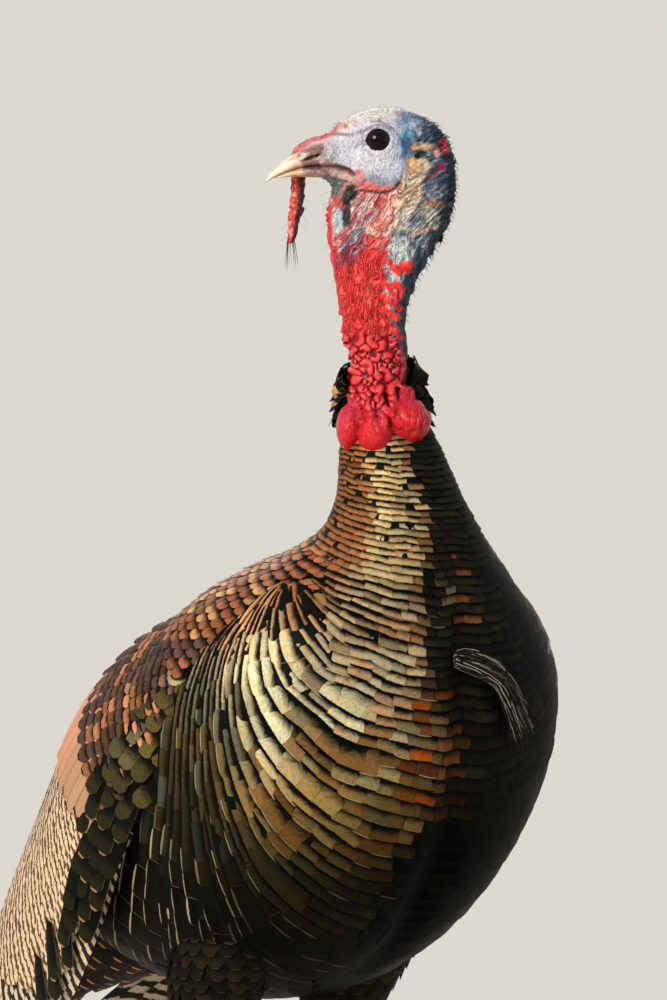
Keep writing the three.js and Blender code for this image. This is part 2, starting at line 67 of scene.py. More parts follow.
def node(tree, kind, inputs=(), **settings):
    """Adds a shader node. settings are its own values or its sockets' values by name.

    inputs, listed in the sockets' order or kept by their names or numbers, are values, hex
    colours, other nodes' sockets, or other nodes where their first socket is meant. Those of a
    MapRange are the value, its two ends and what these become; a Mix of colours takes 0, 6, 7.
    """
    made = tree.nodes.new("ShaderNode" + kind)
    inputs = dict(inputs if isinstance(inputs, dict) else enumerate(inputs))
    for name, value in settings.items():
        if hasattr(made, name):
            setattr(made, name, value)
        else:
            inputs[name.replace("_", " ")] = value
    for key, value in inputs.items():
        if isinstance(value, bpy.types.Node):
            value = value.outputs[0]
        if isinstance(value, bpy.types.NodeSocket):
            tree.links.new(value, made.inputs[key])
            continue
        if isinstance(value, str):
            value = (*linear(value), 1)
        made.inputs[key].default_value = value
    return made


def new_material(name):
    """An empty material and its node tree."""
    made = bpy.data.materials.new(name)
    made.use_nodes = True
    made.node_tree.nodes.clear()
    return made, made.node_tree


def link_object(name, mesh, *materials):
    made = bpy.data.objects.new(name, mesh)
    bpy.context.scene.collection.objects.link(made)
    for one in materials:
        mesh.materials.append(one)
    return made


floor_paint, tree = new_material("matt_floor_paint")
speckle = node(tree, "TexNoise", Scale=900.0, Detail=2.0)
paint_bump = node(tree, "Bump", {"Height": speckle}, Strength=0.05)
paint = node(tree, "BsdfPrincipled", {"Normal": paint_bump}, Roughness=0.85, Base_Color=ROOM_COLOUR)
# Further out the floor turns to the backdrop's own colour, so that no edge shows.
floor_at = node(tree, "TexCoord")
far = node(tree, "VectorMath", [floor_at.outputs["Object"]], operation="LENGTH")
fade = node(tree, "MapRange", [far.outputs["Value"], 0.7, 2.2])
rays = node(tree, "LightPath")
seen = node(tree, "Math", [fade, rays.outputs["Is Camera Ray"]], operation="MULTIPLY")
glow = node(tree, "Emission", Color=ROOM_COLOUR, Strength=1.0)
faded = node(tree, "MixShader", [seen, paint, glow])
node(tree, "OutputMaterial", [faded])
corners = [(-FLOOR_HALF, -FLOOR_HALF, 0), (FLOOR_HALF, -FLOOR_HALF, 0),
           (FLOOR_HALF, FLOOR_HALF, 0), (-FLOOR_HALF, FLOOR_HALF, 0)]
floor_mesh = bpy.data.meshes.new("floor")
floor_mesh.from_pydata(corners, [], [(0, 1, 2, 3)])
link_object("floor", floor_mesh, floor_paint)

world = bpy.data.worlds.new("studio")
bpy.context.scene.world = world
world.use_nodes = True
tree = world.node_tree
tree.nodes.clear()
rays = node(tree, "LightPath")
seen = node(tree, "Math", [rays.outputs["Is Camera Ray"], rays.outputs["Is Glossy Ray"]],
            operation="MAXIMUM")
fill = node(tree, "Background", Color="#f2f4f8", Strength=0.26)
backdrop = node(tree, "Background", Color=ROOM_COLOUR, Strength=1.0)
both = node(tree, "MixShader", [seen, fill, backdrop])
node(tree, "OutputWorld", [both])

# Each lamp: name, place, watts, size, colour; all look at the breast.
LAMPS = [
    ("key", (-3.4, -0.9, 2.5), 205, 1.6, "#fff1dc"),
    ("fill", (1.9, -3.6, 1.3), 12, 2.2, "#eef2ff"),
    ("rim", (2.2, 2.6, 2.6), 60, 1.8, "#fff6ea"),
]
for name, place, watts, size, colour in LAMPS:
    lamp = bpy.data.lights.new(name, "AREA")
    lamp.energy = watts
    lamp.size = size
    lamp.color = linear(colour)
    stand = bpy.data.objects.new(name, lamp)
    stand.location = place
    stand.rotation_euler = (CAMERA_TARGET - Vector(place)).to_track_quat("-Z", "Y").to_euler()
    bpy.context.scene.collection.objects.link(stand)

toward_camera = Vector((math.sin(CAMERA_AZIMUTH) * math.cos(CAMERA_HEIGHT_ANGLE),
                        -math.cos(CAMERA_AZIMUTH) * math.cos(CAMERA_HEIGHT_ANGLE),
                        math.sin(CAMERA_HEIGHT_ANGLE)))
lens = bpy.data.cameras.new("camera")
lens.lens = 500
lens.sensor_fit = "VERTICAL"
lens.sensor_height = 36
lens.clip_end = 60
camera = bpy.data.objects.new("camera", lens)
camera.location = CAMERA_TARGET + toward_camera * CAMERA_DISTANCE
camera.rotation_euler = toward_camera.to_track_quat("Z", "Y").to_euler()
bpy.context.scene.collection.objects.link(camera)
bpy.context.scene.camera = camera
bpy.context.scene.view_settings.view_transform = "Standard"

# ---- Skin -----------------------------------------------------------------------------------
# One skin over the whole bird: bare and folded on the head, neck and feet, and dark down under
# the feathers. It is worked as a solid field, 0.9 mm fine on the head, then meshed and joined.
# All shapes are in millimetres in the bird's own measures, placed by where the left eye sits.
EYE_IN_MM = np.array([-8.094, -23.09, 832.0])
EYE_BALL = 10.0
EYE_SIDE, EYE_FORWARD, EYE_HEIGHT = 10.6, 1.2, 832.2
NECK_AXIS_Y = -15.0
HEAD_TURN = math.radians(130)
eye_low, eye_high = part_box("eye_left")
SHIFT = np.array((eye_low + eye_high) / 2) - EYE_IN_MM / 1000


def place(points):
    """Bird's millimetres to metres in the frame."""
    return np.asarray(points) / 1000 + SHIFT


def ramp(x, low, high):
    """0 below low, 1 above high and smooth between them."""
    t = np.clip((x - low) / (high - low), 0, 1)
    return t * t * (3 - 2 * t)


def zone(value, low, high, soft):
    """1 where value is between low and high, fading over soft."""
    return ramp(value, low - soft, low + soft) * (1 - ramp(value, high - soft, high + soft))


def mix(a, b, t):
    return a + (b - a) * t


def row_at(table, s):
    """Runs smoothly through the rows of a table; s = 0 is the first row."""
    table = np.asarray(table, float)
    s = np.asarray(s, float)
    last = len(table) - 1
    i = np.clip(np.floor(s).astype(int), 0, last - 1)
    t = (s - i)[..., None]
    a, b, c, d = (table[np.clip(i + k, 0, last)] for k in (-1, 0, 1, 2))
    return 0.5 * (2 * b + (c - a) * t + (2 * a - 5 * b + 4 * c - d) * t ** 2
                  + (3 * b - a - 3 * c + d) * t ** 3)


def power(value, exponent):
    return np.sign(value) * np.abs(value) ** exponent


def spin(x, y, angle):
    return (x * np.cos(angle) - y * np.sin(angle), x * np.sin(angle) + y * np.cos(angle))


def turned(points):
    """Turns points of the straight neck and head about the neck's axis, more the higher."""
    angle = -HEAD_TURN * ramp(points[..., 2], 540, 780)
    x, y = spin(points[..., 0], points[..., 1] - NECK_AXIS_Y, angle)
    return np.stack([x, y + NECK_AXIS_Y, points[..., 2]], -1)


def to_head(points):
    """Bird's millimetres to the head's own side, forward and height."""
    x, y = spin(points[..., 0], points[..., 1] - NECK_AXIS_Y, HEAD_TURN)
    return np.stack([x, -y, points[..., 2]], -1)


def from_head(points):
    x, y = spin(points[..., 0], -points[..., 1], -HEAD_TURN)
    return np.stack([x, y + NECK_AXIS_Y, points[..., 2]], -1)


def numbers(things, name, width, kind=np.float32):
    """Rows of width numbers read from all of a mesh's vertices, edges or normals at once."""
    values = np.empty(len(things) * width, kind)
    things.foreach_get(name, values)
    return values.reshape(-1, width)


random = np.random.default_rng(11)
LATTICE = (random.random((32, 32, 32)) * 2 - 1).astype(np.float32)


def noise(points, size):
    """Smooth noise from -1 to 1 whose lumps are about size millimetres along each axis."""
    at = np.asarray(points) / np.asarray(size)
    i = np.floor(at).astype(int)
    t = at - i
    t = t * t * (3 - 2 * t)
    total = 0
    for dx in (0, 1):
        for dy in (0, 1):
            for dz in (0, 1):
                weight = (np.abs(1 - dx - t[..., 0]) * np.abs(1 - dy - t[..., 1])
                          * np.abs(1 - dz - t[..., 2]))
                total = total + weight * LATTICE[(i[..., 0] + dx) % 32, (i[..., 1] + dy) % 32,
                                                 (i[..., 2] + dz) % 32]
    return total


def main_part(count, faces):
    """Which of the points hang together with most others, without crumbs and inner bubbles."""
    part, before = np.arange(count), None
    while before is None or (part != before).any():
        before = part.copy()
        lowest = part[faces].min(1)
        for corner in faces.T:
            np.minimum.at(part, corner, lowest)
        part = part[part]
    return part == np.bincount(part).argmax()


class Field:
    """A solid kept as distances on a grid of points; solids are added to it or cut from it."""
    FAR = 9.0

    def __init__(self, low, high, step):
        """step is the spacing of the points, in millimetres, or a function of the height."""
        low, high = np.array(low, float), np.array(high, float)
        spacing = step if callable(step) else lambda z: step
        heights = [low[2]]
        while heights[-1] < high[2]:
            heights.append(heights[-1] + spacing(heights[-1]))
        self.height = np.array(heights)
        self.step = np.array([spacing(z) for z in heights])
        self.middle = (low[:2] + high[:2]) / 2
        self.half = np.ceil((high[:2] - low[:2]) / 2 / self.step.min())
        self.size = np.array([*(2 * self.half + 1), len(heights)], int)
        self.value = np.full(self.size, self.FAR, np.float32)

    def points(self, where):
        """Places, in millimetres, of grid indices (whole or not)."""
        level = np.arange(len(self.height))
        step = np.interp(where[2], level, self.step)
        return np.stack([self.middle[0] + (where[0] - self.half[0]) * step,
                         self.middle[1] + (where[1] - self.half[1]) * step,
                         np.interp(where[2], level, self.height)], -1)

    def indices(self, points):
        step = np.interp(points[..., 2], self.height, self.step)
        return np.stack([(points[..., 0] - self.middle[0]) / step + self.half[0],
                         (points[..., 1] - self.middle[1]) / step + self.half[1],
                         np.interp(points[..., 2], self.height, np.arange(len(self.height)))], -1)

    def load_mesh(self, points, quads):
        grid = vdb.FloatGrid.createLevelSetFromPolygons(
            self.indices(points).astype(np.float32), np.zeros((0, 3), np.uint32),
            quads.astype(np.uint32), vdb.createLinearTransform(1.0), self.FAR / self.step.min())
        grid.copyToArray(self.value)
        self.value *= self.step[None, None, :].astype(np.float32)

    def blend(self, low, high, distance, k, cut=False):
        corners = np.array([(x, y, z) for x in (low[0], high[0]) for y in (low[1], high[1])
                            for z in (low[2], (low[2] + high[2]) / 2, high[2])])
        reached = self.indices(corners)
        first = np.clip(np.floor(reached.min(0)).astype(int) - 1, 0, self.size)
        last = np.clip(np.ceil(reached.max(0)).astype(int) + 2, 0, self.size)
        if np.any(last <= first):
            return
        box = tuple(slice(a, b) for a, b in zip(first, last))
        grids = np.meshgrid(*[np.arange(a, b) for a, b in zip(first, last)], indexing="ij")
        other = distance(self.points(grids)).astype(np.float32)
        here = self.value[box]
        if cut:
            here, other = -here, other
        h = np.clip(0.5 + 0.5 * (other - here) / k, 0, 1)
        joined = other * (1 - h) + here * h - k * h * (1 - h)
        self.value[box] = -joined if cut else joined

    def ball(self, centre, radii, k=1.0, cut=False, tilt=0.0):
        """An oval ball; tilt turns it in the side view, in degrees."""
        centre = np.array(centre, float)
        radii = np.array(np.broadcast_to(radii, 3), float)
        reach = radii.max() + k + 2
        angle = math.radians(tilt)

        def distance(p):
            q = p - centre
            f, z = spin(q[..., 1], q[..., 2], -angle)
            q = np.stack([q[..., 0], f, z], -1)
            a = np.linalg.norm(q / radii, axis=-1)
            b = np.linalg.norm(q / radii ** 2, axis=-1) + 1e-6
            return a * (a - 1) / b
        self.blend(centre - reach, centre + reach, distance, k, cut)

    def tube(self, path, radii, k=1.0, cut=False):
        path = np.array(path, float)
        radii = np.broadcast_to(radii, len(path)).astype(float)
        for a, b, ra, rb in zip(path[:-1], path[1:], radii[:-1], radii[1:]):
            reach = max(ra, rb) + k + 2

            def distance(p):
                along = b - a
                t = np.clip(((p - a) @ along) / (along @ along + 1e-9), 0, 1)
                return np.linalg.norm(p - a - t[..., None] * along, axis=-1) - mix(ra, rb, t)
            self.blend(np.minimum(a, b) - reach, np.maximum(a, b) + reach, distance, k, cut)

    def pair(self, kind, centre, *rest, **more):
        """The same shape on both sides of the head."""
        for side in (1, -1):
            flip = np.array([side, 1, 1])
            getattr(self, kind)(np.array(centre, float) * flip, *rest, **more)

    def mesh(self):
        grid = vdb.FloatGrid(self.FAR)
        grid.copyFromArray(self.value)
        points, quads = grid.convertToQuads(0.0)
        keep = main_part(len(points), quads)
        number = np.cumsum(keep) - 1
        return self.points(points[keep].T), number[quads[keep[quads[:, 0]]]][:, ::-1]


def loft(rings):
    """Points and quads of a closed tube through rings of equal length, (rings, sides, 3)."""
    count, sides, _ = rings.shape
    ends = np.stack([rings[0].mean(0), rings[-1].mean(0)])
    points = np.concatenate([rings.reshape(-1, 3), ends])
    i, j = np.meshgrid(np.arange(count - 1), np.arange(sides), indexing="ij")
    i, j = i.ravel(), j.ravel()
    k = (j + 1) % sides
    walls = np.stack([i * sides + j, i * sides + k, (i + 1) * sides + k, (i + 1) * sides + j], -1)
    j = np.arange(sides)
    k = (j + 1) % sides
    first, last = count * sides, count * sides + 1
    cap0 = np.stack([k, j, np.full(sides, first), np.full(sides, first)], -1)
    base = (count - 1) * sides
    cap1 = np.stack([base + j, base + k, np.full(sides, last), np.full(sides, last)], -1)
    return points, np.concatenate([walls, cap0, cap1])


# Head and bare neck: nape forward, nape height, throat forward, throat height, half width.
HEAD = [
    [-21, 652, 25, 654, 21], [-18, 675, 23, 675, 19.5], [-16, 706, 23.5, 700, 19],
    [-19, 726, 28, 722, 20], [-26.5, 744, 31.5, 745, 20.5], [-36, 760, 33.8, 762, 21],
    [-45, 776, 34.5, 777, 21], [-49.5, 793, 34.2, 789, 20.5], [-50.3, 809, 33.2, 797, 20],
    [-47.3, 825.5, 33, 800.7, 19.5], [-38.6, 840.5, 33.2, 802.4, 19.2],
    [-23, 850.3, 34, 803.6, 19], [-6, 853.5, 35, 804.4, 18.2], [11, 851.5, 36, 805, 16.8],
    [25, 844.5, 37, 805.4, 14.2], [36.5, 834.5, 38, 805.6, 11.5],
]


def head_surface(s, angle, grow=0.0):
    """A point of the head or bare neck; angle runs from the nape (0) round the left side."""
    rows = row_at(HEAD, s)
    nape, throat = rows[..., 0:2], rows[..., 2:4]
    middle = mix(nape, throat, 0.42)
    rise = np.cos(angle)
    reach = np.where(rise[..., None] > 0, nape, throat) - middle
    length = np.linalg.norm(reach, axis=-1)
    amount = np.abs(rise) ** np.where(rise > 0, 0.94, 1.18)
    at = middle + reach * (((length + grow) * amount) / length)[..., None]
    side = (rows[..., 4] + grow) * power(np.sin(angle), 0.95)
    return turned(np.stack([side, NECK_AXIS_Y - at[..., 0], at[..., 1]], -1))


def grid_of(surface, s, sides, *rest):
    """Rings of a surface at each s."""
    angle = np.linspace(0, 2 * np.pi, sides, endpoint=False)[None, :]
    s = np.asarray(s)[:, None] + 0 * angle
    return surface(s, angle + 0 * s, *rest)


def head_step(z):
    """Fine on the head, coarser down the neck, finer again on the knobs, in millimetres."""
    return np.interp(z, [640, 700, 722, 745, 768], [1.12, 1.12, 1.25, 1.2, 0.9])


head = Field((-44, -58, 620), (46, 66, 860), head_step)
rings = grid_of(head_surface, np.linspace(0.03, len(HEAD) - 1, 90), 64, -0.6)
head.load_mesh(to_head(loft(rings)[0]), loft(rings)[1])


def side_at(f, z):
    """How far out from the middle the head's surface lies at a place of the side view."""
    out = np.linspace(1, 36, 141)
    at = np.rint(head.indices(np.stack([out, f + 0 * out, z + 0 * out], -1))).astype(int)
    inside = head.value[at[:, 0], at[:, 1], at[:, 2]] < 0
    return out[inside][-1] if inside.any() else 8.0


# Face: brow, cheek, socket, lids, ear and the lumps round them; side, forward, height.
head.pair("tube", [(14.5, 14, 839.5), (16.3, 3, 843.5), (15.5, -10, 842)], 2.6, 3.0)
head.pair("ball", (11, 4, 817), (8.8, 20, 11), 5.0, tilt=-6)
head.pair("ball", (9, 27, 818), (6.5, 13, 9), 4.0, tilt=-10)
head.ball((0, 24.5, 838.5), (9.5, 4.6, 6.4), 1.6)
head.pair("ball", (EYE_SIDE, EYE_FORWARD, EYE_HEIGHT), EYE_BALL + 0.25, 0.5, cut=True)
for reach, out, thick in [(8.6, 16.5, 0.8), (10.7, 15.9, 0.75), (13.1, 14.9, 0.8)]:
    turn = np.linspace(0, 2 * np.pi, 33)
    lid = np.stack([out - 0.9 * (reach > 9) * np.maximum(np.sin(turn), 0),
                    EYE_FORWARD + reach * np.cos(turn) * 1.02,
                    EYE_HEIGHT + reach * np.sin(turn) * 0.97], -1)
    head.pair("tube", lid, thick, 0.7)
head.pair("ball", (side_at(-27, 823), -27, 822.8), (4.0, 5.2, 3.2), 1.0, cut=True, tilt=-12)
# Lumps in the side view: place, size, and how far their own colour reaches, if they have one.
EAR_LUMPS = [
    (-24, 828.2, 2.0, 2.4, "#e0b286"), (-28.5, 828.8, 2.2, 2.6, "#e6cdb0"),
    (-33, 827.6, 2.0, 2.4, "#d9a086"), (-37.3, 824, 2.3, 0, None), (-32, 833, 2.9, 0, None),
    (-20.5, 836, 2.0, 0, None), (-22, 832, 1.8, 0, None), (-26, 838, 2.2, 2.4, "#b8b4c4"),
    (-22, 842.5, 2.2, 2.4, "#9db0c6"), (-27, 843, 2.0, 2.2, "#7c8cae"),
]
NAPE_BEADS = [(-41.7, 830.5, 2.9, 3.2, "#b4203c"), (-42.8, 825.6, 2.2, 3.2, "#cf4a64"),
              (-40.3, 814.6, 2.8, 3.2, "#7c1d40")]
LOW_EAR_LUMPS = [(-22, 817.5, 2.4, 2.4, "#e2b48c"), (-26, 815.5, 2.8, 0, None),
                 (-30, 817, 2.2, 2.2, "#c8b49c")]
# The pink corner of the mouth, red lumps under the cheek, pale ones on the jaw.
MOUTH_LUMPS = [
    (14.4, 811.6, 2.1, 2.4, "#d8646a"), (12.3, 808.4, 2.2, 2.4, "#dd7d78"),
    (12, 803.4, 1.8, 2, "#c8484a"), (9.6, 801.6, 1.8, 2, "#cc4f4c"),
    (6.8, 803, 2.7, 3, "#dd6c62"), (3.6, 802.2, 2.3, 2.6, "#d85c52"),
    (0.6, 800.4, 2.0, 2.2, "#cf4c46"), (-2.6, 800, 2.0, 2.2, "#c84c46"),
    (-6, 800.8, 2.0, 2.2, "#c25a50"), (27, 808.4, 2.0, 2.4, "#c0a690"),
    (23, 807.6, 2.2, 2.6, "#c79c8c"), (19.5, 806, 2.0, 2.2, "#c8ac98"),
    (16.6, 805.6, 1.8, 2, "#c88478"), (30.5, 809.6, 1.6, 2, "#a98872"),
]


def add_lump(f, z, size, wide, high, lean, sunk, soft):
    """A lump on both sides of the head, drawn within these widths, heights and leans."""
    wide, high, lean = random.uniform(*wide), random.uniform(*high), random.uniform(-lean, lean)
    head.pair("ball", (side_at(f, z) - sunk * size, f, z), (size, size * wide, size * high), soft,
              tilt=lean)


for f, z, size, _, _ in EAR_LUMPS + NAPE_BEADS + LOW_EAR_LUMPS + MOUTH_LUMPS:
    add_lump(f, z, size, (0.9, 1.5), (0.8, 1.15), 50, 0.62, 1.5)
head.pair("tube", [(17.5, 19.5, 802), (16.2, 21.5, 796), (15.5, 23.2, 786), (15.6, 21.4, 775)],
          [3.2, 4.4, 3.0, 1.4], 1.5, cut=True)
head.pair("tube", [(15.8, 21.6, 804.6), (15.6, 24.6, 799), (15.2, 27.2, 792.5)], 1.2, 0.8)

# Red lumps in clusters down the side of the neck, and pale folds from the ear to the nape.
SIDE_LUMPS = [
    (-6.5, 752.4, 2.4), (-9.5, 748.4, 3.0), (-12.5, 745.8, 2.9), (-15.5, 750, 3.1),
    (-19, 750.5, 2.9), (-18.2, 746.2, 2.4), (-2.5, 738, 2.6), (-6.5, 735.5, 2.9),
    (-11, 737, 3.1), (-14, 734.5, 2.9), (-8.5, 731.2, 2.7), (-13, 729.5, 2.5), (-2, 730, 2.5),
    (-5.5, 726.5, 2.9), (-9.8, 725.2, 2.8), (-12.5, 721.8, 2.6), (-3, 721, 2.7), (-7, 718.2, 2.9),
    (-11, 715.8, 2.7), (-2.5, 712.4, 2.7), (-6.5, 710, 2.9), (-10.5, 706.8, 2.9), (-4, 704.6, 2.7),
    (-13, 702.2, 2.4), (-8, 700, 2.7), (-11.5, 695, 2.7), (-6, 693.4, 2.6), (-12.5, 688.4, 2.6),
]
for f, z, size in SIDE_LUMPS:
    add_lump(f, z, size, (0.8, 1.5), (0.8, 1.2), 60, 0.45, 1.3)
for path in [[(-30, 783), (-33.5, 780), (-36, 775)], [(-29, 788), (-35, 786), (-38, 779)],
             [(-18, 768.5), (-24, 770), (-30, 773.5), (-36.5, 775.5)],
             [(-30.6, 790), (-36, 791), (-43.5, 789.5)], [(-14, 763), (-17, 757)],
             [(-19, 766), (-22, 758)], [(-22, 777), (-27, 779), (-31, 777)]]:
    ridge = [(side_at(f, z) - 0.7, f, z) for f, z in path]
    head.pair("tube", ridge, random.uniform(1.1, 1.6), 1.6)

# Short winding cords of skin packed over the foot of the neck: their lines in the side view,
# and their size. Each has five steps and starts near its own place of a loose grid.
CORD_STEP, CORD_RADIUS = 2.6, 3.9
WINDING_CORDS = []
for low in np.arange(653, 718, 7.2):
    for start in np.arange(-15, 28, 7.6):
        f, z = start + random.uniform(-2, 2), low + random.uniform(-2, 2)
        heading, bend = random.uniform(0, np.pi), random.uniform(-1.0, 1.0)
        line = [(f, z)]
        for _ in range(5):
            f, z = f + CORD_STEP * math.cos(heading), z + CORD_STEP * math.sin(heading)
            heading += bend + random.uniform(-0.3, 0.3)
            line.append((f, z))
        WINDING_CORDS.append(np.array(line))
# Swollen skin that fills the neck's foot and the gaps between the knobs.
head.pair("ball", (10, 3, 652), (14, 22, 12), 2.0)
PADS = [[(26.5, 8, 650), (8, 9, 8)], [(27, -3, 650), (8, 8, 7)]]
for centre, radii in PADS:
    head.ball(centre, radii, 1.5)


def cord_at(f, z):
    """How near the middle of a winding cord a place of the side view is: 1 on it, 0 in a crease."""
    nearest = np.full(f.shape, 99.0)
    second = nearest.copy()
    for line in WINDING_CORDS:
        own = np.full(f.shape, 99.0)
        for (f0, z0), (f1, z1) in zip(line[:-1], line[1:]):
            t = np.clip(((f - f0) * (f1 - f0) + (z - z0) * (z1 - z0)) / CORD_STEP ** 2, 0, 1)
            own = np.minimum(own, np.hypot(f - mix(f0, f1, t), z - mix(z0, z1, t)))
        second = np.minimum(second, np.maximum(own, nearest))
        nearest = np.minimum(nearest, own)
    return np.sqrt(1 - np.clip(nearest / CORD_RADIUS, 0, 1) ** 2) * ramp(second - nearest, 0, 1.4)


# Knobs at the foot of the neck: three big lobes, each with folded cords running into it.
KNOBS = [
    [(21.5, 20.2, 643.4), (13, 8.8, 15.6)],
    [(30.5, 2.6, 638.6), (13, 12.0, 13.6)],
    [(24, -18.0, 647.4), (15.5, 15.4, 15.2)],
]
KNOB_CORDS = [
    ([(17, 16, 663), (21, 17, 657), (24, 19, 651)], 4.8),
    ([(20, 11, 668), (26, 8, 661), (32, 6.4, 655), (37, 6.0, 648)], 3.6),
    ([(38, -3.0, 645), (34, -1.4, 652), (28, 1.0, 660), (22, 0, 668)], 3.2),
    ([(22, -7, 668), (29, -9.5, 660), (36, -9, 652), (38, -13, 646)], 3.0),
    ([(18, -16, 665), (23, -17, 658)], 5.6),
]
for centre, radii in KNOBS:
    head.ball(centre, radii, 0.7)


def in_steps(path):
    """A smooth run of points, four for each of the path's."""
    return row_at(path, np.linspace(0, len(path) - 1, 4 * len(path)))


for path, thick in KNOB_CORDS:
    head.tube(in_steps(path), thick, 0.7)

# Snood: a fleshy finger from the brow over the far side of the bill, knobbly like the rest.
SNOOD = [
    [0, 31, 832.4, 4.6], [-0.5, 38, 830.8, 4.2], [-2, 45, 829.2, 3.9], [-4.5, 50.8, 826, 3.8],
    [-8, 54.4, 821.5, 3.8], [-12, 54, 813, 4.0], [-13.6, 54, 800, 4.4], [-13.6, 56, 783, 3.8],
    [-13, 58, 769, 2.7], [-12.8, 58.6, 765, 1.4],
]
snood = row_at(SNOOD, np.linspace(0, 9, 37))
head.tube(snood[:, :3], snood[:, 3], 1.2)
for k in range(60):
    at = row_at(SNOOD, np.array(random.uniform(0, 8.6)))
    turn = random.uniform(0, 2 * np.pi)
    head.ball(at[:3] + at[3] * 0.72 * np.array([np.cos(turn), np.sin(turn), 0]),
              random.uniform(1.1, 1.7), 0.5)
# Beads down the front edge of the throat.
for z in np.arange(700, 789, 3.6):
    f = np.interp(z, [700, 722, 746, 758, 782, 795], [22, 25, 28.2, 30.6, 33.8, 33])
    head.ball((random.uniform(-1, 2), f, z), random.uniform(1.8, 2.6), 0.6)

# Creases of the face in the side view: path, how wide, how deep and how dark their painted shade
# is.
CREASES = [
    ([(5.9, 844.8), (0, 844.9), (-5, 842.9), (-10.6, 837.4), (-15.6, 830.6)], 0.7, 0.9, 0.75),
    ([(32, 836.4), (25, 836.2), (17.8, 836.6), (9.6, 838.4)], 0.9, 0.8, 0.4),
    ([(17, 827.2), (13, 829.6), (9.6, 832.4)], 0.6, 0.6, 0.35),
    ([(20.8, 847.5), (20.5, 843)], 0.6, 0.6, 0.4),
    ([(40, 814.9), (28.8, 815), (20.5, 812.9), (16.7, 809.6)], 0.9, 1.3, 1.0),
    ([(38, 806.6), (30, 806.4), (22, 804.6), (15, 801)], 0.9, 1.0, 0.7),
    ([(14, 799.6), (6, 798.4), (-2, 797.6), (-8, 799), (-13, 804.5)], 0.9, 1.5, 0.85),
    ([(-13.4, 806), (-15.6, 814), (-16.4, 822)], 0.9, 0.8, 0.5),
    ([(EYE_FORWARD + 10.6 * math.cos(k), EYE_HEIGHT + 10.2 * math.sin(k))
      for k in np.linspace(0, 2 * np.pi, 25)], 0.5, 0.5, 0.55),
    ([(EYE_FORWARD + 13.4 * math.cos(k), EYE_HEIGHT + 12.6 * math.sin(k))
      for k in np.linspace(2.7, 4.6, 8)], 0.5, 0.4, 0.4),
]


def crease_at(f, z):
    """How deep the face's creases are at a place of the side view, and how much painted shade
    darkens them.
    """
    deep, dark = 0, 0
    for path, width, depth, tone in CREASES:
        for (f0, z0), (f1, z1) in zip(path[:-1], path[1:]):
            t = ((f - f0) * (f1 - f0) + (z - z0) * (z1 - z0)) / ((f1 - f0) ** 2 + (z1 - z0) ** 2)
            t = np.clip(t, 0, 1)
            near = np.exp(-(((f - mix(f0, f1, t)) ** 2 + (z - mix(z0, z1, t)) ** 2) / width ** 2))
            deep, dark = np.maximum(deep, near * depth), np.maximum(dark, near * tone)
    return deep, dark


def skin_zones(p):
    """How much of the throat, nape and face a point of the head belongs to."""
    f, z = p[..., 1], p[..., 2]
    edge = np.interp(z, [640, 690, 706, 730, 749, 758, 767, 787, 800],
                     [-19, -15, -8, -3, -3.5, -4.5, -7, -10, -12])
    throat = ramp(f, edge - 1.5, edge + 1.5) * ramp(-z, -805, -798)
    behind = -f - np.interp(z, [800, 815, 832, 845, 856], [16, 17, 20, 27, 29])
    nape = (1 - throat) * np.maximum(ramp(-z, -812, -799), ramp(behind, -2, 3.5))
    return throat, nape, np.clip(1 - throat - nape, 0, 1)


def fold_at(p):
    """Places along and across the folds of the skin, which run down and forward."""
    f, z = p[..., 1], p[..., 2]
    throat, nape, _ = skin_zones(p)
    lean = mix(np.interp(z, [690, 745, 758, 775, 800], [80, 68, 50, 56, 62]),
               np.interp(z, [720, 770, 805, 830], [84, 66, 44, 36]), nape)
    lean = np.radians(lean)
    loose = mix(1.3, 2.6, ramp(-z, -758, -735) * throat)
    across = f * np.sin(lean) + (z - 770) * np.cos(lean) + loose * noise(p, 5.5)
    along = -f * np.cos(lean) + (z - 770) * np.sin(lean) + loose * noise(p + 33, 5.5)
    return across, along


def folds_of(p):
    """Long folds of throat and nape: 0 in a crease, near 1 on a fold."""
    across, along = fold_at(p)
    q = np.stack([across, along, p[..., 0]], -1)
    return (np.abs(noise(q, (2.3, 11, 13))) * 1.5 + np.abs(noise(q + 50, (1.5, 6, 9))) * 0.5)


def skin_relief(p):
    throat, nape, face = skin_zones(p)
    f, z = p[..., 1], p[..., 2]
    low = ramp(z, 700, 716)
    side = np.abs(p[..., 0]) > 6
    deep, _ = crease_at(f, z)
    fine = np.abs(noise(p, 2.0))
    foot = (1 - low) * ramp(f, -17, -13) * (z > 640)
    cords = np.zeros(f.shape)
    cords[foot > 0] = cord_at(f[foot > 0], z[foot > 0])
    for centre, radii in KNOBS:
        foot = foot * ramp(np.linalg.norm((p - centre) / radii, axis=-1), 1.0, 1.3)
    return (throat * low * (folds_of(p) - 0.5) * 1.6 + foot * (cords - 0.3) * 2.7
            + nape * (folds_of(p) - 0.45) * 1.7 + face * (fine - 0.3) * 0.4 - deep * side)


where = np.nonzero(np.abs(head.value) < 3.2)
head.value[where] -= skin_relief(head.points(where))
head_points, head_quads = head.mesh()
head_points = from_head(head_points)

# Body: back y, z, breast y, z and half width of each ring, from the neck's top to the rump.
BODY = [
    [6, 652, -46, 650, 26], [6, 627, -60, 625, 34], [4, 603, -79, 590, 42],
    [8, 582, -93, 560, 56], [22, 568, -100, 528, 80], [46, 558, -104, 490, 109],
    [76, 545, -102, 448, 131], [107, 529, -94, 402, 139], [137, 509, -74, 354, 136],
    [165, 487, -40, 311, 127], [192, 461, 6, 280, 117], [218, 433, 58, 262, 105],
    [242, 405, 112, 258, 92], [262, 381, 163, 267, 78], [279, 361, 207, 285, 63],
    [294, 346, 243, 304, 47],
]


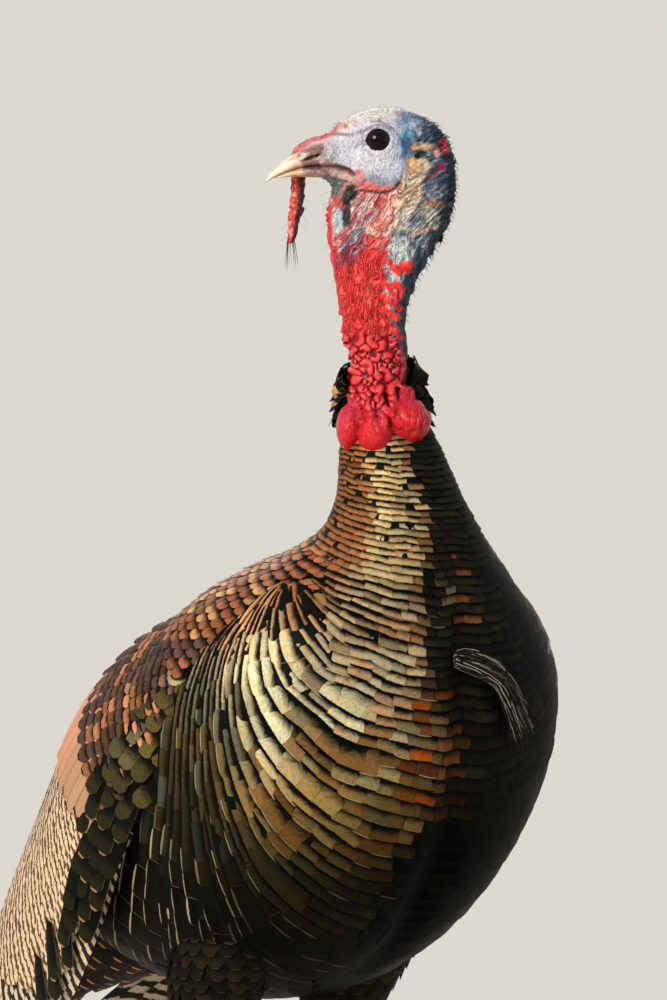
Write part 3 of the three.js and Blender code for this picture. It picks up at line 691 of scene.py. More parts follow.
def body_surface(s, angle, grow=0.0):
    """A point of the feathered outline; angle runs from the back (0) round the left side."""
    rows = row_at(BODY, s)
    back, breast, half_width = rows[..., 0:2], rows[..., 2:4], rows[..., 4]
    middle = (back + breast) / 2
    to_back = back - middle
    half = np.linalg.norm(to_back, axis=-1)
    to_back = to_back / half[..., None]
    side = (half_width + grow) * power(np.sin(angle), 2 / 2.15)
    up = (half + grow) * power(np.cos(angle), 2 / 2.15)
    groove = ramp(s, 1.5, 4) * (1 - ramp(s, 8, 11)) * 7 * np.exp(-(side / 11) ** 2)
    up = up + np.where(up < 0, groove, 0)
    at = middle + to_back * up[..., None]
    return np.stack([side, at[..., 0], at[..., 1]], -1)


body_skin = loft(grid_of(lambda s, angle: body_surface(s, angle, -7 - 6 * ramp(s, 0, 3)),
                         np.linspace(0.1, 14.9, 44), 48))

# Thighs: middle, half width and half depth of each ring, from the belly to the hock.
THIGH = [
    [56, 66, 312, 38, 56], [57, 78, 284, 33, 45], [57, 89, 258, 27, 34], [56, 100, 232, 20, 24],
    [55, 108, 208, 14.5, 16], [54, 112, 188, 11, 11.5],
]


def thigh_surface(side, t, angle, grow=0.0):
    """A point of the feathered thigh; t runs down it from 0 to 1, angle 0 faces the outside."""
    rows = row_at(THIGH, t * (len(THIGH) - 1))
    x = rows[..., 0] + (rows[..., 3] + grow) * np.cos(angle)
    y = rows[..., 1] - (rows[..., 4] + grow) * np.sin(angle)
    return np.stack([side * x, y, rows[..., 2]], -1)


thigh_skins = [
    loft(grid_of(lambda t, angle: thigh_surface(side, t, angle, -5 + 2.5 * ramp(t, 0.5, 1)),
                 np.linspace(-0.02, 1.0, 16), 36)) for side in (1, -1)]

# Shank and foot of the left leg as a field; the right one is its mirror image.
SHANK = [
    [54, 112, 194, 8.5], [54, 113, 184, 9.4], [54, 113, 172, 9.2], [54, 108, 155, 6.9],
    [54.5, 100, 115, 6.2], [55, 91, 66, 6.2], [55, 85, 32, 7.2], [55, 83, 18, 8.6],
]
FOOT = np.array([55.0, 82.0])
# Toes: heading from straight ahead towards the outside, length, lift of the root.
TOES = [(-34, 52, 0), (-4, 78, 0), (30, 56, 0), (172, 30, 3)]
TOE_FLAT = math.cos(math.pi / 8)


def toe_point(heading, length, lift, t):
    """A point on the middle line of a left toe and the toe's radius there."""
    radius = mix(6.0, 3.7, t)
    ahead = np.array([math.sin(math.radians(heading)), -math.cos(math.radians(heading))])
    at = FOOT + ahead * length * t
    z = mix(8.0 + lift, radius * TOE_FLAT - 0.15, min(1.0, t * 3))
    return np.array([at[0], at[1], z]), radius


leg = Field((8, -10, -3), (98, 132, 200), 1.9)
leg.tube([row[:3] for row in SHANK], [row[3] for row in SHANK], 1.5)
leg.ball((55, 82, 12), (9.2, 10, 10.5), 2.0)
for heading, length, lift in TOES:
    stops = [toe_point(heading, length, lift, t) for t in np.linspace(0, 1, 9)]
    leg.tube([at for at, _ in stops], [r - 0.2 for _, r in stops], 1.6)
    for t in (0.28, 0.52, 0.76, 0.96):
        at, radius = toe_point(heading, length, lift, t)
        leg.ball(at - (0, 0, 0.8), (radius + 0.5, radius + 0.9, radius - 0.2), 1.0)


def scales(p):
    """Plates across the front of the shank and the tops of the toes, pebbles elsewhere."""
    x, y, z = p[..., 0], p[..., 1], p[..., 2]
    along = np.where(z > 20, z, np.hypot(x - FOOT[0], y - FOOT[1]))
    pitch = np.where(z > 20, 6.5, 4.0)
    row = np.abs(np.modf(along / pitch + 0.08 * noise(p, 9))[0] - 0.5) * 2
    shank_line = np.interp(z, [18, 66, 115, 155, 190], [83, 91, 100, 108, 113])
    front = np.where(z > 20, ramp(shank_line - y, -1.5, 1.0), ramp(z, 3.5, 6.5))
    pebbles = np.abs(noise(p, 2.6)) * 1.3
    return mix(pebbles, 1 - ramp(row, 0.72, 0.98), front)


where = np.nonzero(np.abs(leg.value) < 3)
leg.value[where] -= (scales(leg.points(where)) - 0.75) * 0.75
leg.value = np.maximum(leg.value, 0.05 - leg.height[None, None, :]).astype(np.float32)
leg_points, leg_quads = leg.mesh()


def mesh_from(name, points, faces):
    """A smooth mesh from points in bird's millimetres and an array of triangles or quads."""
    made = bpy.data.meshes.new(name)
    made.from_pydata(place(points), [], [list(dict.fromkeys(face)) for face in faces.tolist()])
    made.validate()
    made.shade_smooth()
    return made


def facing_out(points, faces):
    """The faces, turned over if the closed mesh is inside out."""
    a, b, c = (points[faces[:, k]] for k in (0, 1, 2))
    d = points[faces[:, 3]]
    volume = (a * np.cross(b, c)).sum() + (a * np.cross(c, d)).sum()
    return faces if volume > 0 else faces[:, ::-1]


shells = [("head", head_points, head_quads), ("body", *body_skin),
          ("thigh_a", *thigh_skins[0]), ("thigh_b", *thigh_skins[1]),
          ("leg_a", leg_points, leg_quads), ("leg_b", leg_points * (-1, 1, 1), leg_quads)]
skin = None
for name, points, faces in shells:
    shell = link_object("skin" if skin is None else name,
                        mesh_from(name, points, facing_out(points, faces)))
    if skin is None:
        skin = shell
        continue
    weld = skin.modifiers.new("weld", "BOOLEAN")
    weld.operation = "UNION"
    weld.solver = "MANIFOLD"
    weld.object = shell
    joined = bpy.data.meshes.new_from_object(
        skin.evaluated_get(bpy.context.evaluated_depsgraph_get()))
    skin.modifiers.clear()
    skin.data = joined
    bpy.data.objects.remove(shell)
stray = ~main_part(len(skin.data.vertices), numbers(skin.data.edges, "vertices", 2, np.int32))
whole = bmesh.new()
whole.from_mesh(skin.data)
bmesh.ops.delete(whole, geom=[point for point, gone in zip(whole.verts, stray) if gone])
whole.to_mesh(skin.data)
whole.free()
skin.data.shade_smooth()


def rgb(colour):
    return np.array(linear(colour))


def painted(tint, *layers):
    """A base colour with others laid over it, each with how much of it shows where."""
    tint = rgb(tint) if isinstance(tint, str) else tint
    for colour, amount in layers:
        colour = rgb(colour) if isinstance(colour, str) else colour
        tint = mix(tint, colour, np.clip(amount, 0, 1)[:, None])
    return tint


def patch(f, z, centre, radii, tilt=0.0, soft=0.35):
    """1 inside an oval of the side view, fading to 0 over its soft edge."""
    u, v = spin(f - centre[0], z - centre[1], math.radians(-tilt))
    return 1 - ramp(np.hypot(u / radii[0], v / radii[1]), 1 - soft, 1 + soft)


NAPE_LINE = [[652, 706, 726, 744, 760, 776, 793, 809, 825, 840],
             [-21, -16, -19, -26.5, -36, -45, -49.5, -50.3, -47.3, -38.6]]
THROAT_LINE = [[652, 675, 700, 722, 745, 762, 777, 789, 797],
               [25, 23, 23.5, 28, 31.5, 33.8, 34.5, 34.2, 33.2]]


def skin_colour(points, in_knob, hollow):
    """The skin's colours on folds and in creases, its folds' strength, pores and roughness."""
    p = to_head(points)
    f, z, depth = p[..., 1], p[..., 2], np.abs(p[..., 0])
    throat, nape, _ = skin_zones(p)
    across, along = fold_at(p)
    q = np.stack([across, along, p[..., 0]], -1)
    ragged = noise(q + 9, (1.6, 9, 9)) * 2.4
    wf = f + mix(1.4 * noise(p, 5) + 0.8 * noise(p + 9, 2), ragged, throat + nape)
    wz = z + 1.4 * noise(p + 70, 5) + 0.8 * noise(p + 79, 2)
    fine, coarse = noise(p, 1.6), noise(p, 6)
    streak = noise(q + 21, (1.8, 10, 12))
    throat, nape, face = skin_zones(np.stack([p[..., 0], wf, wz], -1))
    side = ramp(depth, 4, 9)

    tone = np.tile(rgb("#c2c7df"), (len(points), 1))
    crease = np.tile(rgb("#7b86ad"), (len(points), 1))
    strength, pores, rough = (np.full(len(points), v) for v in (0.3, 1.0, 0.5))

    def oval(*shape):
        """A patch of the side view with a ragged edge."""
        return patch(wf, wz, *shape)

    def lay(amount, fold, valley_shade=None, folds=None, dots=0.0, gloss=None):
        """Lays colours for folds and for their creases, whose darker colour is painted shade, and
        with them the folds' strength and gloss.
        """
        amount = np.clip(amount, 0, 1)
        tone[:] = mix(tone, rgb(fold), amount[:, None])
        crease[:] = mix(crease, rgb(valley_shade or fold), amount[:, None])
        if folds is not None:
            strength[:] = mix(strength, folds, amount)
            pores[:] = mix(pores, dots, amount)
        if gloss is not None:
            rough[:] = mix(rough, gloss, amount)

    # Face and crown.
    lay(oval((2, 820), (18, 9)) * 0.8, "#d3d6e6", "#8f98bb")
    lay(oval((4, 852), (28, 9), -4), "#dcdce4", "#a3a4b6")
    lay(oval((25, 840.5), (7, 6.5), 0, 0.3), "#e4dcd6", "#a99f9c")
    lay(oval((-8, 840), (10, 5), -30) * ramp(coarse, -0.3, 0.2) * 0.8, "#a7b0d2", "#5c6ca4")
    lay(oval((-12, 818), (5, 13), 8) * ramp(-coarse, -0.4, 0.2) * 0.7, "#97a3cc", "#4c5c98")
    lay(ramp(coarse, 0.1, 0.6) * face * 0.35, "#a3abcb")
    lay(ramp(noise(p + 20, 4.5), 0.25, 0.7) * face * ramp(f, 2, 14) * 0.5, "#c2a8c6")
    lay(patch(f, z, (22.8, 841.6), (1.7, 1.5)) * 0.9, "#a8844c")
    lay(oval((-13.3, 848), (3.4, 2.4)) * 0.7, "#c98ca0")
    lay(oval((-19, 847), (6, 4.5), 20) * 0.85, "#6a7db0", "#38497c")
    lay(oval((-21.5, 836), (7.5, 14.5), 22, 0.6), "#4a8abb", "#174a78")
    lay(oval((-27, 843), (8, 5.5), -38, 0.5) * 0.85, "#3f6ea2", "#1c3a6c")
    lay(oval((-16.6, 828), (2.4, 8), 6, 0.5) * 0.9, "#144572")
    lay(oval((-23.5, 842.6), (5, 3.2)) * ramp(fine, -0.5, 0.1), "#a9bfd4", "#5278a4")
    lay(oval((-20.6, 836), (2.8, 2.2)) * 0.9, "#5fa2bd")
    lay(oval((-22, 831.8), (2.4, 2)) * 0.8, "#8eb4cc")
    lay(oval((-35, 838), (7, 7), 30, 0.4) * 0.9, "#3a4670", "#1a2242")
    lay(oval((-32, 833), (3.6, 2.6), 0, 0.3) * 0.9, "#c0a4ba", "#6a5478")
    # A thin line of painted shade along the brow crease.
    lay(patch(f, z, (26, 836.2), (9, 1.2), 4, 0.6) * 0.6, "#565b72")
    lay(oval((30.6, 828.4), (3.6, 2), 30, 0.7) * 0.4, "#5f7086", "#22364a")
    lay(oval((36, 820), (6.5, 9.5), 14, 0.6) * ramp(fine, -0.7, 0.1) * 0.85, "#94828c", "#4c4450")
    lay(oval((31.4, 820), (3.4, 7), 0, 0.5) * ramp(fine, -0.2, 0.4) * 0.8, "#76867e", "#3a4440")
    lips = np.interp(f, [16, 20.5, 28.8, 40], [809.6, 812.9, 815, 814.9])
    lay(ramp(f, 15, 20) * zone(wz - lips, -3.0, 2.2, 0.8), "#8a5f54", "#4a302c", 0.4)
    lay(ramp(wf, 30, 36) * zone(wz, 806, 813, 1), "#8d7466", "#4a3430", 0.4)

    # Nape: blue black, with pale, cream and orange folds.
    lay(nape, "#40658a", "#16243a", 0.9)
    lay(nape * ramp(streak, 0.05, 0.5) * 0.6, "#88a2b8", "#22344e")
    lay(nape * ramp(noise(p + 11, 7), 0.1, 0.6) * 0.35, "#4a3350", "#1a1428")
    mottle, specks = noise(q + 71, (2.2, 5, 6)), noise(p + 91, 2.4)
    lay(nape * ramp(mottle, 0.1, 0.45) * ramp(coarse, -0.5, 0.2) * 0.8, "#c2cdd4", "#334258")
    lay(nape * ramp(specks, 0.3, 0.6) * 0.5, "#7a6a80")
    lay(nape * oval((-33, 806), (15, 9), -55, 0.5) * ramp(mottle, -0.1, 0.3) * 0.6,
        "#8c7c94", "#241f36")
    lay(nape * oval((-29, 790), (10, 7), -55, 0.5) * ramp(specks, -0.1, 0.3) * 0.6,
        "#c8c2bc", "#2a3040")
    lay(oval((-19, 797), (20, 8), -70, 0.25), "#e6d6bf", "#2f3444", 1.0)
    lay(oval((-18, 800), (16, 7.5), -68, 0.3) * ramp(streak, 0.08, 0.35) * 0.85,
        "#dd8f5c", "#5a3434", 1.0)
    lay(oval((-21, 800), (14, 5), -68, 0.4) * ramp(-streak, 0.1, 0.4) * 0.7, "#5c6a7c", "#1c2230")
    lay(oval((-14, 779), (9, 4.6), -64, 0.35), "#d6d2cc", "#5a6a80", 1.0)
    lay(oval((-33.6, 782), (5.5, 8), -20, 0.35) * 0.95, "#ccd0c2", "#3c4a50", 0.9)
    lay(oval((-24, 773), (7, 4.5), -20, 0.4) * 0.8, "#cfd0c6", "#3c4a50", 0.9)
    lay(oval((-14, 759), (9, 7.6), 50, 0.3), "#d3dadd", "#39617f", 0.8)
    lay(oval((-9.5, 727), (6.6, 40), 4, 0.22) * side, "#cfd8de", "#355d84", 0.8)
    lay(oval((-37.5, 790.5), (7.4, 2.0), 4, 0.5) * ramp(specks, -0.5, 0), "#d08a5c", "#6a3a28", 0.8)
    lay(oval((-27.3, 772), (10, 1.9), -22, 0.5) * ramp(specks, -0.5, 0), "#d88f74", "#7c4238", 0.8)
    lay(oval((-34, 809), (8, 1.8), -38, 0.4) * 0.8, "#7c2630", "#40121c", 0.5)
    lay(oval((-26, 816.4), (7.4, 5), 10, 0.25), "#ccb99e", "#8a7562", 0.3)
    lay(oval((-20.4, 816), (1.8, 3.4), 0, 0.4) * 0.9, "#dd915c")
    for at_f, at_z, _, reach, tint in EAR_LUMPS + LOW_EAR_LUMPS:
        if tint:
            lay(oval((at_f, at_z), (reach * 1.2, reach), 0, 0.35) * 0.9, tint)
    lay(patch(f, z, (-37.3, 824), (2.3, 3), 0, 0.3), "#d99c9c")
    lay(patch(f, z, (-27.2, 822.9), (4.6, 2.4), -12, 0.4) * (depth > 9), "#3c4044")
    near_nape = f - np.interp(z, *NAPE_LINE)
    lay(ramp(-near_nape, -8, -4) * (z < 838) * 0.85, "#1a2434", "#0d121c", 0.9)
    lay(zone(z, 700, 756, 8) * zone(near_nape, 3, 10, 2) * 0.8, "#173f64", "#0e2238", 0.8)
    lay(ramp(-z, -702, -686) * ramp(-f, 8, 12) * 0.9, "#22262e", "#10131a", 0.6)
    for at_f, at_z, _, reach, tint in NAPE_BEADS:
        lay(patch(f, z, (at_f, at_z), (reach, 3.0), 0, 0.25), tint, folds=0.0, gloss=0.35)

    # Throat: red, paler and lilac near the jaw, blue grey behind its front edge.
    lay(throat, "#d93234", "#700a16", 1.0, gloss=0.36)
    lay(throat * ramp(streak, 0.1, 0.6) * 0.6, "#f0645a", "#9c1820")
    lay(throat * ramp(wz + 0.1 * wf, 762, 786) * 0.85, "#dc9f9a", "#8c2c38")

    lay(throat * oval((-5, 783), (7.5, 13), -14, 0.5) * 0.6, "#f2a298", "#a8262e")
    lay(throat * oval((-5, 786), (7, 12), -14, 0.4) * ramp(streak, 0.15, 0.5) * 0.8,
        "#f3c6bd", "#b8404a")
    lay(throat * oval((11, 785), (7.6, 14), 22, 0.3) * 0.9, "#bda4b0", "#4a2036", 1.0)
    lay(throat * oval((8, 790), (7, 9), 10, 0.4) * ramp(-streak, 0, 0.3) * 0.7,
        "#d06a6c", "#6a2236")
    lay(throat * ramp(wz + 0.1 * wf, 756, 778) * ramp(mottle, -0.1, 0.25) * 0.8,
        "#ecdcd8", "#a04450")
    lay(throat * ramp(wz, 764, 780) * ramp(-streak, 0.15, 0.4) * 0.75, "#c23438", "#70141c")
    lay(throat * oval((20.5, 760), (15, 7), 130, 0.3) * 0.9, "#8e3048", "#1a0f22", 1.0)
    lay(throat * oval((21, 764), (15, 8), 130, 0.3) * ramp(streak, 0.12, 0.4),
        "#a9a6c0", "#2a1a38", 1.0)
    lay(throat * oval((16, 770), (7, 4), 130, 0.4) * 0.7, "#8494a8", "#2c2a44", 1.0)
    lay(oval((28, 779.6), (4.4, 9.2), 4, 0.2) * side, "#bccfdb", "#5a82a6", 0.7)
    # Near-black in the fold behind the jaw: painted shadow in the fold.
    lay(oval((20.4, 797.6), (5.4, 6.6), -20, 0.3) * side, "#14121a", "#0a090e", 0.3)
    lay(oval((22.4, 786), (3.4, 12), -6, 0.3) * side, "#1e1a2a", "#0a090e", 0.3)
    lay(patch(f, z, (24.8, 798.4), (7, 1.3), -66, 0.3) * side, "#c8656c", "#7a2030", 0.2)
    lay(oval((30, 801), (6, 7.4), -20, 0.4) * ramp(z, 789, 792), "#6f7d78", "#1b262a", 0.9)
    lay(oval((28.6, 792), (2.6, 6), -40, 0.4) * side, "#b8505c", "#4a1c2a", 0.5)
    front = f - np.interp(z, *THROAT_LINE)
    lay(ramp(front, -3.4, -1.6) * zone(z, 690, 789, 2), "#d23438", "#7c1220", 0.3, 0, 0.35)
    # Lumps round the mouth, under the cheek and down the neck.
    for at_f, at_z, _, reach, tint in MOUTH_LUMPS:
        lay(oval((at_f, at_z), (reach, reach), 0, 0.4)
            * mix(0.55, 1, ramp(fine, -0.6, 0.2)), tint, folds=0.0)
    for at_f, at_z, size in SIDE_LUMPS:
        lay(patch(f, z, (at_f, at_z), (size, size), 0, 0.18) * side, "#df3238", folds=0.0,
            gloss=0.32)
    # Winding cords and knobs at the foot of the neck: glossy red, plum in the creases as painted
    # shade; a painted highlight makes the cords' tops paler and the knobs' upper parts pinker.
    foot = ramp(-z, -708, -700) * throat
    cords = np.zeros(len(f))
    cords[foot > 0] = cord_at(f[foot > 0], z[foot > 0])
    lay(foot, "#7a0c18", "#4c0812", 0.1, gloss=0.13)
    lay(foot * ramp(cords, 0.3, 0.72), "#d3202c", "#6a0c1c", 0.1)
    # Painted highlight on the tops of the cords.
    lay(foot * ramp(cords, 0.8, 1.0) * 0.5, "#f05a5e")
    lay(in_knob * 1.0, "#cb1a25", "#7c0c1e", 0.35, gloss=0.16)
    # Painted highlight: the knobs' upper parts pinker.
    lay(in_knob * ramp(z + 0.3 * f, 640, 656) * ramp(coarse, -0.5, 0.3) * 0.65, "#c4385c",
        "#8c1836")
    # Snood and its root: red beads above, pale pink below, and dark on its rear side as painted
    # shade.
    hanging = (f > 45) & (z < 816) & (depth > 6)
    top = np.interp(f, [28, 34, 45, 51, 56], [838.5, 836.4, 833.6, 830, 824])
    crest = ((f > 24) & (z > 806) & ~hanging) * ramp(wf + 0.7 * (wz - 832), 28, 37)
    lay(crest * ramp(wz - top, -7.5, -4.5), "#cdb0b8", "#7c5a68", 0.2)
    lay(crest * ramp(wz - top, -4.6, -2.2) * mix(0.6, 1, ramp(fine, -0.5, 0.3)),
        "#b0525c", "#5c242e", 0.2, gloss=0.42)
    lay(hanging * 1.0, "#c4352f", "#6c1a1e", 0.2, gloss=0.38)
    lay(hanging * ramp(fine, 0.05, 0.45) * 0.75, "#e7a193")
    # Painted shade on the snood's rear side.
    behind = np.interp(z, [765, 783, 800, 813], [58.6, 56, 54, 53.4]) - f
    lay(hanging * ramp(behind, -0.6, 1.2) * 0.9, "#2c2230", "#14101a", 0.3)

    # Painted shade darkens the hollows between the folds and the face's creases, and a painted
    # highlight makes the tops of the folds paler.
    _, dark = crease_at(f, z)
    loose = np.clip(throat + nape + in_knob, 0, 1)
    deep = ramp(hollow, 0.03, 0.24) * mix(0.35, 0.95, loose)
    tone[:] = mix(tone, crease * mix(1, 0.6, ramp(hollow, 0.2, 0.5))[:, None], deep[:, None])
    tone[:] = mix(tone, np.array([0.9, 0.85, 0.8]), (ramp(-hollow, 0.1, 0.4) * 0.16
                                                     * mix(0.4, 1, loose))[:, None])
    lay(dark * (depth > 6) * (z > 797) * 0.85, "#23243a")
    tone *= (1 + 0.09 * fine + 0.07 * coarse)[:, None]
    fold = np.stack([across / 1.5, along / 7.0, p[..., 0] / 7.0], -1)
    return np.clip(tone, 0, 1), np.clip(crease, 0, 1), fold, np.stack([strength, pores, rough], -1)


def set_colours(mesh, **layers):
    """Keeps an array of colours, or of three numbers, with each point of a mesh."""
    for name, values in layers.items():
        colours = values.shape[1] == 4
        layer = mesh.attributes.new(name, "FLOAT_COLOR" if colours else "FLOAT_VECTOR", "POINT")
        layer.data.foreach_set("color" if colours else "vector",
                               np.ascontiguousarray(values, np.float32).ravel())


def with_alpha(colours):
    return np.concatenate([colours, np.ones((len(colours), 1))], 1)


at = (numbers(skin.data.vertices, "co", 3) - SHIFT) * 1000
at_head = to_head(at)
# The knobs, their cords and the stretch of skin between them share one colour, which reaches
# a little past their own shapes.
KNOB_REACH, CORD_MARGIN = 1.12, 0.8
in_knob = ((at_head[:, 0] > 15) & (at_head[:, 1] > -24) & (at_head[:, 2] > 636)
           & (at_head[:, 2] < np.where(at_head[:, 1] < -12, 668, 656)))
for centre, radii in KNOBS + PADS + [[(14, 3, 650), (22, 24, 11)]]:
    in_knob |= np.linalg.norm((at_head - centre) / radii, axis=1) < KNOB_REACH
for path, thick in KNOB_CORDS:
    for stop in in_steps(path):
        in_knob |= np.linalg.norm(at_head - stop, axis=1) < thick + CORD_MARGIN
bare = (at[:, 2] > 652) | in_knob
shin = at[:, 2] < 186
# How hollow the skin is at each point: where its neighbours lie above its own plane.
ends = numbers(skin.data.edges, "vertices", 2, np.int32)
facing = numbers(skin.data.vertex_normals, "vector", 3)
hollow, met = np.zeros(len(at)), np.zeros(len(at))
for one, other in (ends.T, ends.T[::-1]):
    step = at[other] - at[one]
    np.add.at(hollow, one, (step * facing[one]).sum(1) / np.linalg.norm(step, axis=1))
    np.add.at(met, one, 1)
hollow = hollow / np.maximum(met, 1)
spread = np.zeros(len(at))
for one, other in (ends.T, ends.T[::-1]):
    np.add.at(spread, one, hollow[other])
hollow = 0.5 * hollow + 0.5 * spread / np.maximum(met, 1)
down = rgb("#1b1815") * (1 + 0.35 * noise(at, 3))[:, None]
plates = scales(at * np.where(at[:, :1] < 0, [-1, 1, 1], [1, 1, 1]))
shin_tone = painted("#7d4440", ("#c58a7c", ramp(plates, 0.2, 0.9)))
shin_tone = shin_tone * (1 + 0.15 * noise(at, 5))[:, None]
tone, crease, fold, detail = skin_colour(at, in_knob, hollow)
covered = np.where(shin[:, None], shin_tone, down)
tone = np.where(bare[:, None], tone, covered)
# Under the feathers and on the shins the creases get a darker painted shade too.
crease = np.where(bare[:, None], crease, covered * 0.6)
detail = np.where(bare[:, None], detail, (0.3, 0.0, 0.6))
set_colours(skin.data, tone=with_alpha(tone), crease=with_alpha(crease), fold=fold, detail=detail)

# Bare skin: soft and folded, a little oily, glossier on the swollen red parts, pored on the face.
bare_skin, tree = new_material("bare_folded_skin")
tone_in, crease_in, fold_in, detail_in = (
    node(tree, "Attribute", attribute_name=name) for name in ("tone", "crease", "fold", "detail"))
parts = node(tree, "SeparateXYZ", [detail_in.outputs["Vector"]])
where_at = node(tree, "TexCoord")
# Fine folds, about 2 mm apart: creases run where the noise passes its middle.
winding = node(tree, "TexNoise", {"Vector": fold_in.outputs["Vector"]}, Scale=1.0, Detail=2.0,
               Roughness=0.5)
centred = node(tree, "Math", [winding, 0.5], operation="SUBTRACT")
raised = node(tree, "Math", [centred], operation="ABSOLUTE")
groove = node(tree, "MapRange", [raised, 0.0, 0.05, 1.0, 0.0], interpolation_type="SMOOTHSTEP")
darkened = node(tree, "Math", [groove, parts], operation="MULTIPLY")
# The grooves take the darker crease colour: painted shade in the fine folds.
folded = node(tree, "Mix", {0: darkened, 6: tone_in, 7: crease_in}, data_type="RGBA")
# Pores with a hair root in each, about 2 mm apart.
pores = node(tree, "TexVoronoi", {"Vector": where_at.outputs["Object"]}, Scale=480.0,
             Randomness=0.7)
dots = node(tree, "MapRange", [pores, 0.13, 0.3, 0.8, 0.0])
dotted = node(tree, "Math", [dots, parts.outputs[1]], operation="MULTIPLY")
pored = node(tree, "Mix", {0: dotted, 6: folded.outputs[2], 7: "#3c4164"}, data_type="RGBA")
grain = node(tree, "TexNoise", {"Vector": where_at.outputs["Object"]}, Scale=520.0, Detail=4.0)
shade = node(tree, "MapRange", [grain, 0.3, 0.7, 0.76, 1.12])
tinted = node(tree, "VectorMath", [pored.outputs[2], shade], operation="MULTIPLY")
lifted = node(tree, "MapRange", [raised, 0.0, 0.12])
height = node(tree, "Math", [lifted, parts], operation="MULTIPLY")
fold_bump = node(tree, "Bump", {"Height": height}, Strength=0.8, Distance=0.0012)
grain_bump = node(tree, "Bump", {"Height": grain, "Normal": fold_bump}, Strength=0.7,
                  Distance=0.0009)
surface = node(tree, "BsdfPrincipled", {"Base Color": tinted, "Roughness": parts.outputs[2],
                                        "Normal": grain_bump}, IOR=1.4, Specular_IOR_Level=0.4)
node(tree, "OutputMaterial", [surface])
skin.data.materials.clear()
skin.data.materials.append(bare_skin)
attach(skin, "root")
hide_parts("trunk", "neck_feathered", "neck_bare", "head", "snood", "caruncle_left",
            "caruncle_middle", "caruncle_right", "thigh_left", "thigh_right", "shank_left",
            "shank_right", "foot_left", "foot_right")

# ---- Eyes -----------------------------------------------------------------------------------
# Two dark glass-bright balls behind the lids: black pupil, very dark brown iris, clear cornea.
EYE_RINGS, EYE_SIDES = 28, 48
SIDES = (("left", 1), ("right", -1))
eye_gloss, tree = new_material("wet_cornea")
iris_in = node(tree, "Attribute", attribute_name="tone")
fibres = node(tree, "TexNoise", Scale=1400.0, Detail=3.0)
veil = node(tree, "MapRange", [fibres, 0.0, 1.0, 0.7, 1.3])
iris = node(tree, "VectorMath", [iris_in, veil], operation="MULTIPLY")
surface = node(tree, "BsdfPrincipled", {"Base Color": iris}, Roughness=0.05, IOR=1.38,
               Specular_IOR_Level=0.25)
node(tree, "OutputMaterial", [surface])
for name, side in SIDES:
    out_angle = np.linspace(0.02, np.pi - 0.02, EYE_RINGS)[:, None]
    turn = np.linspace(0, 2 * np.pi, EYE_SIDES, endpoint=False)[None, :]
    bulge = EYE_BALL + 0.5 * np.exp(-(out_angle / 0.55) ** 2)
    ball = np.stack([side * (EYE_SIDE + bulge * np.cos(out_angle) + 0 * turn),
                     EYE_FORWARD + bulge * np.sin(out_angle) * np.cos(turn),
                     EYE_HEIGHT + bulge * np.sin(out_angle) * np.sin(turn)], -1)
    points, faces = loft(ball)
    from_pupil = np.hypot(points[:, 1] - EYE_FORWARD, points[:, 2] - EYE_HEIGHT)
    tone = painted("#040303", ("#1c0f09", ramp(from_pupil, 4.9, 5.5)),
                   ("#080505", ramp(from_pupil, 7.0, 7.7)))
    points = from_head(points)
    eye = link_object("eyeball_" + name, mesh_from("eyeball", points, facing_out(points, faces)),
                      eye_gloss)
    set_colours(eye.data, tone=with_alpha(tone))
    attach(eye, "root")
    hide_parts("eye_" + name)

# ---- Bill -----------------------------------------------------------------------------------
# Two horn halves: a hooked upper one with a slit nostril under a soft flap, and a thin lower
# one. Pinkish cream at the tip, dull brown and mauve towards the face.
BILL_TOP = [
    [36.0, 830.0, 815.3, 10.4], [47, 827, 814.5, 9.2], [55, 823.4, 812.9, 8],
    [62.5, 818.9, 810.2, 6.4], [69, 813.4, 807.5, 4.4], [73.3, 808.8, 805.2, 2.4],
    [75.2, 805.7, 804.6, 0.7],
]
BILL_BELOW = [
    [36.0, 816.2, 807.4, 9.2], [48, 815.3, 807.6, 8], [57, 813, 807.7, 6.3],
    [64, 810.4, 807.2, 4.2], [69.4, 808.2, 806.6, 1.8],
]


def bill_rings(table, sides=48):
    rows = row_at(table, np.linspace(0, len(table) - 1, 40))
    angle = np.linspace(0, 2 * np.pi, sides, endpoint=False)[None, :]
    top, bottom = rows[:, 1:2], rows[:, 2:3]
    rise = power(np.cos(angle), 0.8)
    waist = top * 0.35 + bottom * 0.65
    z = np.where(rise > 0, mix(waist, top, rise), mix(waist, bottom, -rise))
    side = rows[:, 3:4] * power(np.sin(angle), 0.9)
    return np.stack([side, rows[:, 0:1] + 0 * side, z], -1)


